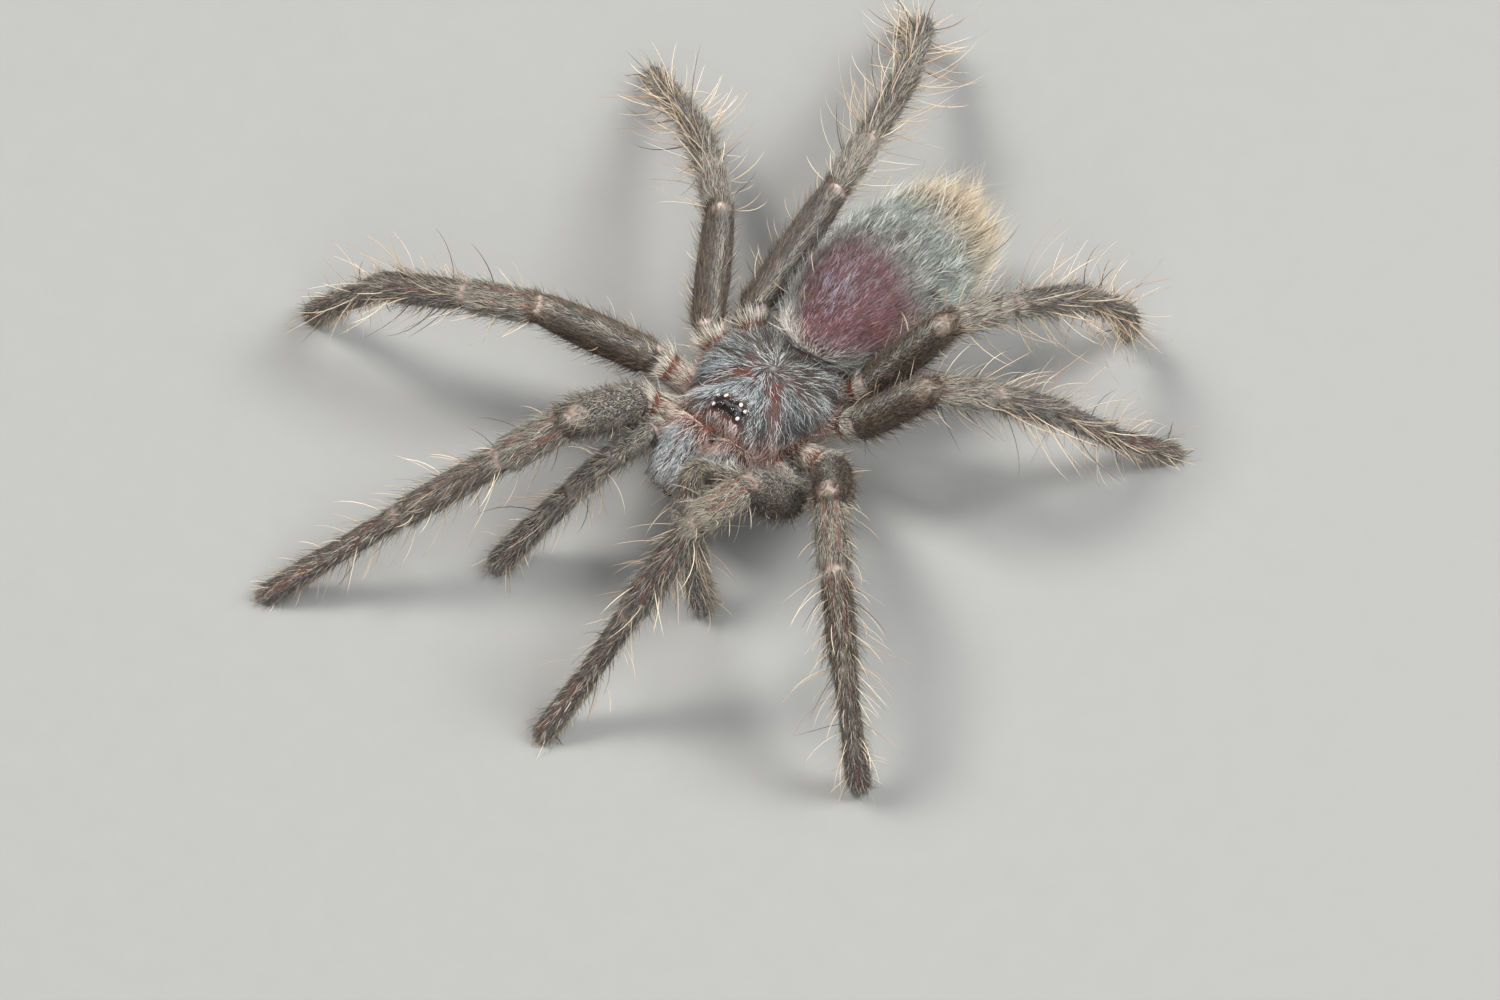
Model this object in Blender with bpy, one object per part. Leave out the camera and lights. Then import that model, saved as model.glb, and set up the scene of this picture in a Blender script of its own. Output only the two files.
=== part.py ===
"""A juvenile tarantula, life size, standing on a floor with its legs spread.

The spider faces -Y, its left side is at +X, and all eight feet and both palps stand at z = 0.
Every solid is drawn out to the tips of its short coat.
Sizes below are in millimetres and degrees; the meshes are made in metres.
"""

import math

import bmesh
import bpy
import numpy as np
from mathutils import Vector

MM = 0.001
GAP = 0.1                       # clearance between pieces that touch

# --- Body ---------------------------------------------------------------------------------------
CARAPACE_LENGTH = 4.6
CARAPACE_HALF_WIDTH = 2.35
CARAPACE_FRONT_Y = -2.45
RIM_Z = 3.24                    # height of the carapace's rim above the floor
RIM_DEPTH = 0.1
CROWN_HEIGHT = 1.15             # of the head region above the rim
TUBERCLE_Y = -1.9
TUBERCLE_HEIGHT = 0.28
TUBERCLE_HALF_WIDTH = 0.56
TUBERCLE_HALF_LENGTH = 0.34

STERNUM_CENTRE = (0.0, -0.15, 2.25)
STERNUM_RADII = (1.75, 2.25, 0.72)

ABDOMEN_FRONT = (0.24, 2.3, 3.55)
ABDOMEN_LENGTH = 7.2
ABDOMEN_HALF_WIDTH = 2.52
ABDOMEN_HALF_HEIGHT = 2.1
ABDOMEN_YAW = 5.0               # the hind end swings a little to the left
ABDOMEN_RISE = 0.1              # height of the middle above the waist

PEDICEL_START = (0.0, 2.02, 2.72)
PEDICEL_END = (0.1, 2.46, 2.88)
PEDICEL_RADIUS = 0.3
SPINNERET_LENGTH = 1.1
SPINNERET_RADIUS = 0.27
SPINNERET_SPREAD = 0.36
SPINNERET_DROP = 0.85           # of their roots below the waist's height
SPINNERET_AIM = (0.18, 1.0, -0.1)
SPINNERET_PROFILE = ((0.0, 1.0), (0.5, 0.95), (0.85, 0.8), (1.0, 0.4))

CHELICERA_START = (0.8, -2.74, 3.27)
CHELICERA_END = (0.86, -4.35, 2.2)
CHELICERA_HALF_WIDTH = 0.72
CHELICERA_HALF_HEIGHT = 0.95
CHELICERA_TAPER = 0.2           # share of its height that it loses towards the tip
FANG_LENGTH = 1.5
FANG_RADIUS = 0.19
FANG_POINT = 0.22               # share of that radius at the point
FANG_BEND = 80.0                # degrees that a fang curves through
FANG_FLATNESS = 0.42            # height of that curve against its length
FANG_START = (0.25, -0.72)      # back and down from the chelicera's tip

# Eyes: name -> (sideways, forward of the tubercle's middle, radius), each pair mirrored.
EYES = {
    "front_middle": (0.21, 0.12, 0.122),
    "front_side": (0.47, 0.2, 0.106),
    "rear_side": (0.53, -0.09, 0.106),
    "rear_middle": (0.3, -0.21, 0.088),
}
SOCKET_CLEARANCE = 0.02

# --- Limbs --------------------------------------------------------------------------------------
SEGMENTS = ("femur", "patella", "tibia", "metatarsus", "tarsus")
LENGTHS = {
    1: (4.7, 2.6, 4.0, 2.95, 2.95),
    2: (4.35, 2.55, 3.35, 2.8, 2.4),
    3: (3.9, 2.2, 3.1, 3.2, 2.5),
    4: (5.0, 2.2, 3.6, 3.9, 2.6),
}
PALP_LENGTHS = (2.65, 1.4, 1.75, 2.6)
RADII = (0.66, 0.58, 0.50, 0.40, 0.36)
PALP_RADII = (0.47, 0.45, 0.43, 0.40)
GIRTH = {1: 1.04, 2: 1.02, 3: 0.93, 4: 0.93}

# Where each limb's trochanter meets its femur, on the left side.
HIPS = {1: (3.25, -2.75, 2.95), 2: (3.75, -1.1, 3.1), 3: (3.2, 0.95, 3.05), 4: (2.5, 2.45, 3.05)}
PALP_HIP = (2.12, -3.42, 3.0)
COXA_ROOTS = {1: (0.9, -1.25, 2.0), 2: (1.0, -0.5, 2.0), 3: (1.0, 0.4, 2.0), 4: (0.8, 1.1, 2.0)}
PALP_COXA_ROOT = (1.3, -1.75, 1.85)
COXA_RADIUS = 0.54
PALP_COXA_RADIUS = 0.42
TROCHANTER_LENGTH = 0.8

# Pose of each limb: heading, lean of the limb's plane, then the slope of every segment but the
# last, which slopes as much as it needs to stand on the floor.
POSES = {
    ("left", 1): (-97.0, 9.0, (56.0, 14.0, -51.0, -55.0)),
    ("left", 2): (-49.0, -6.0, (44.0, -12.0, -19.0, -53.0)),
    ("left", 3): (39.0, -15.0, (55.0, -16.0, -37.0, -52.0)),
    ("left", 4): (59.0, -19.0, (65.0, 2.0, -33.0, -60.0)),
    ("right", 1): (249.0, 25.0, (45.0, -27.0, -30.0, -33.0)),
    ("right", 2): (202.0, 15.0, (32.0, -7.0, -17.0, -55.0)),
    ("right", 3): (131.0, -22.0, (26.0, -12.0, -22.0, -36.0)),
    ("right", 4): (101.0, -29.0, (13.0, 7.0, -5.0, -34.0)),
}
PALP_POSES = {
    "left": (-104.0, -25.0, (52.0, -50.0, -78.0)),
    "right": (262.0, 22.0, (21.0, -44.0, -47.0)),
}
SOLE_DEPTH = 0.12               # how much of a tarsus's rounded tip is cut off flat at the floor

SIDES = {"left": 1.0, "right": -1.0}
TUBE_SIDES = 12

# Fractions along a segment and the share of its radius there.
FEMUR_PROFILE = ((0.0, 0.84), (0.2, 0.98), (0.5, 1.0), (0.8, 0.95), (1.0, 0.86))
PLAIN_PROFILE = ((0.0, 0.95), (0.3, 1.04), (0.75, 1.0), (1.0, 0.92))
TARSUS_PROFILE = ((0.0, 1.0), (0.4, 1.04), (0.8, 1.0), (0.93, 0.86), (1.0, 0.5))
TROCHANTER_PROFILE = ((0.0, 0.86), (0.5, 0.95), (1.0, 0.84))
COXA_PROFILE = ((0.0, 0.8), (1.0, 1.0))
STRAIGHT_PROFILE = ((0.0, 1.0), (1.0, 1.0))

COAT = (0.19, 0.17, 0.15, 1.0)
HIP_SKIN = (0.36, 0.15, 0.10, 1.0)
HEAD_COAT = (0.26, 0.28, 0.29, 1.0)
ABDOMEN_COAT = (0.16, 0.10, 0.11, 1.0)
SPINNERET_COAT = (0.44, 0.31, 0.20, 1.0)
FANG_COLOUR = (0.03, 0.015, 0.012, 1.0)
EYE_COLOUR = (0.006, 0.005, 0.005, 1.0)


def clear_scene():
    """Remove whatever the scene holds."""
    for thing in list(bpy.data.objects):
        bpy.data.objects.remove(thing, do_unlink=True)


def make_material(name, colour, roughness):
    """A Principled material in one colour."""
    material = bpy.data.materials.new(name)
    material.use_nodes = True
    shader = material.node_tree.nodes["Principled BSDF"]
    shader.inputs["Base Color"].default_value = colour
    shader.inputs["Roughness"].default_value = roughness
    shader.inputs["Metallic"].default_value = 0.0
    material.diffuse_color = colour
    return material


def add_solid(name, rings, colour, roughness=0.7):
    """Close a stack of rings (in millimetres) into one solid with flat ends.

    rings is an array of shape (rings, points, 3). The object is shaded smooth and faces out.
    What reaches below the floor is cut off along it, which leaves a flat sole.
    """
    rings = np.asarray(rings, dtype=float)
    bm = bmesh.new()
    loops = [[bm.verts.new(Vector(point) * MM) for point in ring] for ring in rings]
    for lower, upper in zip(loops, loops[1:]):
        for i in range(len(lower)):
            j = (i + 1) % len(lower)
            bm.faces.new((lower[i], lower[j], upper[j], upper[i]))
    bm.faces.new(reversed(loops[0]))
    bm.faces.new(loops[-1])
    if rings[..., 2].min() < 0.0:
        everything = [*bm.verts, *bm.edges, *bm.faces]
        bmesh.ops.bisect_plane(bm, geom=everything, dist=1e-7, plane_no=(0.0, 0.0, 1.0), clear_inner=True)
        bmesh.ops.holes_fill(bm, edges=[edge for edge in bm.edges if edge.is_boundary], sides=0)
    bmesh.ops.recalc_face_normals(bm, faces=bm.faces)
    mesh = bpy.data.meshes.new(name)
    bm.to_mesh(mesh)
    bm.free()
    mesh.shade_smooth()
    mesh.materials.append(make_material(name, colour, roughness))
    thing = bpy.data.objects.new(name, mesh)
    bpy.context.collection.objects.link(thing)
    return thing


def mirrored(point, side):
    """A left-side point on the side asked for."""
    return np.array(point, dtype=float) * (SIDES[side], 1.0, 1.0)


def unit(vector):
    """The vector at length one."""
    return np.asarray(vector, dtype=float) / np.linalg.norm(vector)


# --- Limbs --------------------------------------------------------------------------------------
def limb_axes(heading, lean):
    """The directions along a limb's plane (outward, up) and square to it (sideways)."""
    heading, lean = math.radians(heading), math.radians(lean)
    outward = np.array((math.cos(heading), math.sin(heading), 0.0))
    across = np.array((-math.sin(heading), math.cos(heading), 0.0))
    upward = np.array((0.0, 0.0, math.cos(lean))) + across * math.sin(lean)
    return outward, upward, np.cross(outward, upward)


def limb_joints(hip, pose, lengths, tip_z):
    """The joints' places from the hip to the tip, the last segment reaching down to tip_z."""
    heading, lean, slopes = pose
    outward, upward, _ = limb_axes(heading, lean)
    points = [np.array(hip)]
    for length, slope in zip(lengths, np.radians(slopes)):
        points.append(points[-1] + length * (math.cos(slope) * outward + math.sin(slope) * upward))
    drop = (tip_z - points[-1][2]) / (lengths[-1] * upward[2])
    slope = math.asin(max(-1.0, min(1.0, drop)))
    points.append(points[-1] + lengths[-1] * (math.cos(slope) * outward + math.sin(slope) * upward))
    return points


def turned(vector, old, new):
    """The vector turned by the smallest turn that takes direction old to direction new."""
    return np.array(Vector(old).rotation_difference(Vector(new)) @ Vector(vector))


def tube_rings(points, radii, profiles, across, first_gap, last_gap, before=None, after=None):
    """Rings of a bent tube through points, mitred at every bend.

    before and after are the neighbours' directions, so that the ends are mitred to them too.
    across is the sideways direction of the last segment's round section.
    """
    angles = np.arange(TUBE_SIDES) * (2.0 * math.pi / TUBE_SIDES)
    directions = [unit(b - a) for a, b in zip(points, points[1:])]
    sides = [across]
    for old, new in zip(directions[::-1], directions[-2::-1]):
        sides.insert(0, turned(sides[0], old, new))
    chain = [directions[0] if before is None else before, *directions]
    chain.append(directions[-1] if after is None else after)
    rings = []
    for i, (start, end, along) in enumerate(zip(points, points[1:], directions)):
        side = unit(sides[i] - along * np.dot(sides[i], along))
        spokes = np.outer(np.cos(angles), side) + np.outer(np.sin(angles), np.cross(along, side))
        mitres = [unit(along + chain[i]), unit(along + chain[i + 2])]
        slants = [-(spokes @ mitre) / np.dot(along, mitre) for mitre in mitres]
        length = np.linalg.norm(end - start)
        lead = first_gap if i == 0 else 0.0
        trail = last_gap if i == len(directions) - 1 else 0.0
        for fraction, share in profiles[i]:
            if fraction == 0.0 and i > 0:
                continue
            radius = radii[i] * share
            low = lead + radius * slants[0]
            high = length - trail + radius * slants[1]
            distance = low + fraction * (high - low)
            rings.append(start + np.outer(distance, along) + radius * spokes)
    return np.array(rings)


def matched(profile, share):
    """The profile, with its last share set so that the next segment starts at the same size."""
    return (*profile[:-1], (1.0, share))


def standing_end(hip, pose, lengths, radii):
    """A limb's joints, and the rings of its last piece once its tip stands on the floor.

    The tip sinks by SOLE_DEPTH, and what passes through the floor is cut off later.
    """
    across = limb_axes(pose[0], pose[1])[2]
    profiles = [TARSUS_PROFILE]
    if len(lengths) == len(SEGMENTS):
        profiles.insert(0, matched(PLAIN_PROFILE, radii[4] / radii[3]))
    tip_z = 0.0
    for _ in range(4):
        joints = limb_joints(hip, pose, lengths, tip_z)
        rings = tube_rings(joints[3:], radii[3:], profiles, across, GAP / 2, 0.0,
                           before=unit(joints[3] - joints[2]))
        tip_z -= rings[..., 2].min() + SOLE_DEPTH
    return joints, rings


def build_limb(stem, side, hip, coxa_root, pose, lengths, radii):
    """Build one limb: femur with its trochanter, patella, tibia and foot, or a palp's four."""
    joints, end_rings = standing_end(hip, pose, lengths, radii)
    across = limb_axes(pose[0], pose[1])[2]
    directions = [unit(b - a) for a, b in zip(joints, joints[1:])]
    inward = unit(joints[0] - coxa_root)
    knob = joints[0] - inward * TROCHANTER_LENGTH
    rings = tube_rings([knob, *joints[:2]], (radii[0], radii[0]), (TROCHANTER_PROFILE, FEMUR_PROFILE),
                       across, GAP, GAP / 2, after=directions[1])
    add_solid(f"{stem}_femur_{side}", rings, COAT)
    for i, part in ((1, "patella"), (2, "tibia")):
        rings = tube_rings(joints[i:i + 2], radii[i:i + 1], (PLAIN_PROFILE,), across,
                           GAP / 2, GAP / 2, before=directions[i - 1], after=directions[i + 1])
        add_solid(f"{stem}_{part}_{side}", rings, COAT)
    part = "foot" if len(lengths) == len(SEGMENTS) else "tarsus"
    add_solid(f"{stem}_{part}_{side}", end_rings, COAT)
    return knob


def coxa_rings(root, end, radius):
    """A short round tube, wider at its outer end."""
    across = unit(np.cross(unit(end - root), (0.0, 0.0, 1.0)))
    return tube_rings([root, end], (radius,), (COXA_PROFILE,), across, 0.0, 0.0)


# --- Body ---------------------------------------------------------------------------------------
def egg_rings(centre, radii, count, points, power=2.0):
    """Rings of an egg-like solid along Y, its ends rounded to the power given."""
    steps = np.sin(np.linspace(-0.5, 0.5, count) * math.pi * 0.94)
    share = (1.0 - np.abs(steps) ** power) ** (1.0 / power)
    angles = np.arange(points) * (2.0 * math.pi / points)
    rings = np.empty((count, points, 3))
    rings[..., 0] = centre[0] + radii[0] * np.outer(share, np.cos(angles))
    rings[..., 1] = centre[1] + radii[1] * steps[:, None]
    rings[..., 2] = centre[2] + radii[2] * np.outer(share, np.sin(angles))
    return rings


def carapace_half_width(along):
    """Half width of the carapace: a squared head that widens to the thorax and rounds off."""
    head = 0.74 + 0.26 * np.clip(along / 0.5, 0.0, 1.0) ** 1.3
    tail = np.sqrt(np.clip(1.0 - (np.clip(along - 0.5, 0.0, 1.0) / 0.52) ** 2.4, 0.0, 1.0))
    return CARAPACE_HALF_WIDTH * head * tail


def carapace_top(x, y):
    """Height of the carapace's crown above its rim at a place on it."""
    along = (y - CARAPACE_FRONT_Y) / CARAPACE_LENGTH
    crown = np.interp(along, (0.0, 0.12, 0.38, 0.68, 0.88, 1.0), (0.78, 1.0, 1.0, 0.78, 0.5, 0.15))
    mound = np.exp(-((x / TUBERCLE_HALF_WIDTH) ** 4)
                   - ((y - TUBERCLE_Y) / TUBERCLE_HALF_LENGTH) ** 2)
    return CROWN_HEIGHT * crown, TUBERCLE_HEIGHT * mound


def build_carapace():
    """The shield over the head and thorax, with the eye tubercle near its front."""
    points = 24
    stations = np.array((0.0, 0.04, 0.09, 0.12, 0.16, 0.22, 0.35, 0.5, 0.62, 0.75, 0.87, 0.96, 1.0))
    angles = (np.arange(points) + 0.5) * (2.0 * math.pi / points)
    rings = np.empty((len(stations), points, 3))
    for ring, along in zip(rings, stations):
        y = CARAPACE_FRONT_Y + along * CARAPACE_LENGTH
        x = carapace_half_width(along) * np.sign(np.cos(angles)) * np.abs(np.cos(angles)) ** 0.8
        crown, mound = carapace_top(x, y)
        upper = np.abs(np.sin(angles)) ** 0.8
        ring[:, 0] = x
        ring[:, 1] = y
        ring[:, 2] = RIM_Z + np.where(np.sin(angles) > 0.0, crown * upper + mound * upper,
                                      -RIM_DEPTH * upper)
    return add_solid("carapace", rings, HEAD_COAT)


def eye_places():
    """The middle and radius of each eye, on the tubercle's own surface."""
    places = {}
    for name, (aside, ahead, radius) in EYES.items():
        for side in SIDES:
            x, y = aside * SIDES[side], TUBERCLE_Y - ahead
            crown, mound = carapace_top(np.array(x), y)
            half_width = carapace_half_width((y - CARAPACE_FRONT_Y) / CARAPACE_LENGTH)
            fall = (1.0 - abs(x / half_width) ** 2.5) ** 0.4
            top = RIM_Z + crown * fall + float(mound)
            places[f"eye_{name}_{side}"] = (np.array((x, y, top)), radius)
    return places


def ball(name, centre, radius, segments, rows):
    """A round ball of the radius given, not yet in any solid."""
    bm = bmesh.new()
    bmesh.ops.create_uvsphere(bm, u_segments=segments, v_segments=rows, radius=radius * MM)
    mesh = bpy.data.meshes.new(name)
    bm.to_mesh(mesh)
    bm.free()
    mesh.shade_smooth()
    thing = bpy.data.objects.new(name, mesh)
    thing.location = Vector(centre) * MM
    bpy.context.collection.objects.link(thing)
    return thing


def combine(target, tool, operation):
    """Cut or join the tool into the target, and hide the tool as a guide."""
    modifier = target.modifiers.new(f"{operation.lower()}_{tool.name}", "BOOLEAN")
    modifier.operation = operation
    modifier.solver = "EXACT"
    modifier.object = tool
    tool.hide_render = True
    tool.display_type = "WIRE"


def build_eyes(carapace):
    """Eight round eyes, each sunk to its middle in a socket of the tubercle."""
    for name, (centre, radius) in eye_places().items():
        eye = ball(name, centre, radius, 10, 7)
        eye.data.materials.append(make_material(name, EYE_COLOUR, 0.05))
        combine(carapace, ball(f"socket_{name}", centre, radius + SOCKET_CLEARANCE, 10, 7),
                "DIFFERENCE")


def build_underside(coxa_ends):
    """The sternum with the ten coxae that grow from it, joined into one solid."""
    rings = egg_rings(STERNUM_CENTRE, STERNUM_RADII, 10, 16, 2.6)
    underside = add_solid("sternum_and_coxae", rings, HIP_SKIN)
    for name, (root, end, radius) in coxa_ends.items():
        coxa = add_solid(f"coxa_{name}", coxa_rings(root, end, radius), HIP_SKIN)
        combine(underside, coxa, "UNION")


def abdomen_turn(rings):
    """Turn rings drawn straight behind the waist to the abdomen's own heading."""
    yaw = math.radians(ABDOMEN_YAW)
    turned_rings = rings.copy()
    turned_rings[..., 0] = rings[..., 0] * math.cos(yaw) + rings[..., 1] * math.sin(yaw)
    turned_rings[..., 1] = rings[..., 1] * math.cos(yaw) - rings[..., 0] * math.sin(yaw)
    return turned_rings + np.array(ABDOMEN_FRONT)


def build_abdomen():
    """The abdomen, blunt in front, with its two long spinnerets, and the waist before it."""
    sideways = np.array((1.0, 0.0, 0.0))
    centre = (0.0, ABDOMEN_LENGTH / 2.0, ABDOMEN_RISE)
    radii = (ABDOMEN_HALF_WIDTH, ABDOMEN_LENGTH / 2.0, ABDOMEN_HALF_HEIGHT)
    add_solid("abdomen", abdomen_turn(egg_rings(centre, radii, 13, 20, 2.3)), ABDOMEN_COAT, 0.8)
    for side in SIDES:
        root = mirrored((SPINNERET_SPREAD, ABDOMEN_LENGTH, -SPINNERET_DROP), side)
        end = root + SPINNERET_LENGTH * unit(mirrored(SPINNERET_AIM, side))
        rings = tube_rings([root, end], (SPINNERET_RADIUS,), (SPINNERET_PROFILE,), sideways, 0.0, 0.0)
        add_solid(f"spinneret_{side}", abdomen_turn(rings), SPINNERET_COAT)
    waist = [np.array(PEDICEL_START), np.array(PEDICEL_END)]
    rings = tube_rings(waist, (PEDICEL_RADIUS,), (STRAIGHT_PROFILE,), sideways, GAP, GAP)
    add_solid("pedicel", rings, HIP_SKIN)


def chelicera_rings(start, end):
    """Rings of one chelicera, higher than it is wide and rounded at its tip."""
    along = unit(end - start)
    steps = np.array((0.0, 0.12, 0.3, 0.5, 0.7, 0.86, 0.96, 1.0))
    share = np.array((0.8, 0.95, 1.0, 1.0, 0.94, 0.8, 0.58, 0.3))
    angles = np.arange(14) * (2.0 * math.pi / 14)
    across = unit(np.cross(along, (0.0, 0.0, 1.0)))
    upward = np.cross(across, along)
    middle = start + np.outer(steps * np.linalg.norm(end - start), along)
    width = CHELICERA_HALF_WIDTH * np.outer(share, np.cos(angles))
    height = CHELICERA_HALF_HEIGHT * np.outer(share * (1.0 - CHELICERA_TAPER * steps), np.sin(angles))
    return middle[:, None, :] + width[..., None] * across + height[..., None] * upward


def fang_rings(tip):
    """Rings of the fang folded back below a chelicera's tip, thinning to its point."""
    bend = FANG_LENGTH / math.radians(FANG_BEND)
    heart = tip + np.array((0.0, FANG_START[0] + bend * 0.62, FANG_START[1]))
    sweep = np.radians(20.0 + np.linspace(0.0, FANG_BEND, 6))
    path = heart - bend * np.stack((0.0 * sweep, np.cos(sweep), FANG_FLATNESS * np.sin(sweep)), axis=1)
    radii = FANG_RADIUS * np.linspace(1.0, FANG_POINT, len(path))
    angles = np.arange(8) * (2.0 * math.pi / 8)
    rings = []
    for i, (point, radius) in enumerate(zip(path, radii)):
        ahead = unit(path[min(i + 1, len(path) - 1)] - path[max(i - 1, 0)])
        out = np.cross(ahead, (1.0, 0.0, 0.0))
        spokes = np.outer(np.cos(angles), (1.0, 0.0, 0.0)) + np.outer(np.sin(angles), out)
        rings.append(point + radius * spokes)
    return np.array(rings)


def build_jaws():
    """Both chelicerae, and the fangs folded back under them."""
    for side in SIDES:
        start, end = mirrored(CHELICERA_START, side), mirrored(CHELICERA_END, side)
        add_solid(f"chelicera_{side}", chelicera_rings(start, end), HEAD_COAT)
        add_solid(f"fang_{side}", fang_rings(end), FANG_COLOUR, 0.2)


def build_limbs():
    """All eight legs and both palps. Returns the coxae that carry them."""
    coxae = {}
    for (side, number), pose in POSES.items():
        hip, root = mirrored(HIPS[number], side), mirrored(COXA_ROOTS[number], side)
        radii = tuple(radius * GIRTH[number] for radius in RADII)
        knob = build_limb(f"leg_{number}", side, hip, root, pose, LENGTHS[number], radii)
        coxae[f"{number}_{side}"] = (root, knob, COXA_RADIUS)
    for side, pose in PALP_POSES.items():
        hip, root = mirrored(PALP_HIP, side), mirrored(PALP_COXA_ROOT, side)
        knob = build_limb("palp", side, hip, root, pose, PALP_LENGTHS, PALP_RADII)
        coxae[f"palp_{side}"] = (root, knob, PALP_COXA_RADIUS)
    return coxae


def centre_on_floor():
    """Move every piece so that the middle of the whole model's box stands on the origin."""
    bpy.context.view_layer.update()
    graph = bpy.context.evaluated_depsgraph_get()
    corners = []
    for thing in bpy.data.objects:
        if thing.hide_render:
            continue
        shape = thing.evaluated_get(graph)
        corners += [thing.matrix_world @ vertex.co for vertex in shape.data.vertices]
    corners = np.array(corners)
    middle = (corners.min(axis=0) + corners.max(axis=0)) / 2.0
    shift = Vector((middle[0], middle[1], corners[:, 2].min()))
    for thing in bpy.data.objects:
        thing.location -= shift


def main():
    clear_scene()
    carapace = build_carapace()
    build_eyes(carapace)
    build_underside(build_limbs())
    build_abdomen()
    build_jaws()
    centre_on_floor()


main()
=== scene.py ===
"""A juvenile tarantula, life size: one skin, its coat of hair, its eyes and fangs, on a pale floor.

Lengths are in millimetres and angles in radians unless a name says otherwise; meshes are written in metres.
"""

import logging
import math
from dataclasses import dataclass, field
from enum import Enum
from functools import cache

import bpy
import numpy as np
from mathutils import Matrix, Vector


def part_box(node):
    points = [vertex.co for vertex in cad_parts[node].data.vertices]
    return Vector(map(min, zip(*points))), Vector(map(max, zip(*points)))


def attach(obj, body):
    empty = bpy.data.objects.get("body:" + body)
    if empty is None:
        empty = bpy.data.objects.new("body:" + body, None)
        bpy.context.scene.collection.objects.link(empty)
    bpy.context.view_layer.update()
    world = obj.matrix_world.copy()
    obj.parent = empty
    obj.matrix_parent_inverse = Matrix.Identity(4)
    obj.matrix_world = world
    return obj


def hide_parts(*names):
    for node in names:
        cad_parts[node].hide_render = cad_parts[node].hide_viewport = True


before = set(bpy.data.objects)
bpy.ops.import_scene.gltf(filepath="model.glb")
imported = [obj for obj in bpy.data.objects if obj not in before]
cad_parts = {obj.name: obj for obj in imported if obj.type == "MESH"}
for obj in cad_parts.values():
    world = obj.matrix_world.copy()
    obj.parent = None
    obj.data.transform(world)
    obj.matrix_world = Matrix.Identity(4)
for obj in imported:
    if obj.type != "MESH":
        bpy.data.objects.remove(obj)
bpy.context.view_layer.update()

MM = 0.001
TURN = 2.0 * math.pi
BODY = "root"
SIDES = {"left": 1.0, "right": -1.0}
LOG = logging.getLogger("tarantula")


def swatch(red: int, green: int, blue: int) -> np.ndarray:
    """A colour as it is seen (0 to 255) turned into the linear values that shaders take."""
    seen = np.array((red, green, blue)) / 255.0
    return np.where(seen > 0.04045, ((seen + 0.055) / 1.055) ** 2.4, seen / 12.92)


def tone(red: int, green: int, blue: int) -> np.ndarray:
    """A swatch as the default of a dataclass's field."""
    return field(default_factory=lambda: swatch(red, green, blue))


# --- Small helpers on whole arrays ----------------------------------------------------------------
def unit(vectors: np.ndarray) -> np.ndarray:
    """The vectors at length one, along the last axis."""
    vectors = np.asarray(vectors, dtype=float)
    return vectors / np.maximum(np.linalg.norm(vectors, axis=-1, keepdims=True), 1e-12)


def dot(first: np.ndarray, second: np.ndarray) -> np.ndarray:
    """The dot product along the last axis."""
    return (first * second).sum(axis=-1)


def hill(values: np.ndarray, middle: float, spread: float) -> np.ndarray:
    """A smooth bump that is 1 at the middle and fades out at about twice the spread."""
    return np.exp(-(((values - middle) / spread) ** 2))


def rise(values: np.ndarray, low: float, high: float) -> np.ndarray:
    """A smooth step from 0 at low to 1 at high."""
    share = np.clip((values - low) / (high - low), 0.0, 1.0)
    return share * share * (3.0 - 2.0 * share)


def mix(first: np.ndarray, second: np.ndarray, share: np.ndarray) -> np.ndarray:
    """Blend two colours row by row, with share 0 for the first and 1 for the second."""
    share = np.clip(np.asarray(share, dtype=float), 0.0, 1.0)[..., None]
    return first * (1.0 - share) + second * share


def waves(points: np.ndarray, size: float, seed: int) -> np.ndarray:
    """A soft random field from -1 to 1: the mean of sine waves in random directions.

    Args:
        points: places, one per row.
        size: rough distance between its highs and lows.
        seed: picks the directions and phases.

    Returns:
        One value per place.
    """
    random = np.random.default_rng(seed)
    directions = unit(random.normal(size=(9, 3))) * random.uniform(0.6, 1.6, (9, 1))
    phases = random.uniform(0.0, TURN, 9)
    heights = np.sin(points @ directions.T * (math.pi / size) + phases).mean(axis=1)
    return np.clip(heights * 2.2, -1.0, 1.0)


def flow(first: np.ndarray, second: np.ndarray, level: float = 0.0) -> np.ndarray:
    """Places spread out on a plane at a level, so that waves or grain can follow a form's own directions."""
    return np.stack((first, second, np.full(len(first), level)), axis=1)


def read(rows: bpy.types.bpy_prop_collection, name: str, kind: type, width: int) -> np.ndarray:
    """One property of all of a mesh's points, edges, corners or triangles, with width numbers in a row.

    Args:
        rows: the mesh's points, edges, corners or triangles.
        name: of the property.
        kind: of its numbers.
        width: how many numbers each one has.

    Returns:
        The numbers, one row for each.
    """
    values = np.empty(len(rows) * width, dtype=kind)
    rows.foreach_get(name, values)
    return values.reshape(-1, width)


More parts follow.
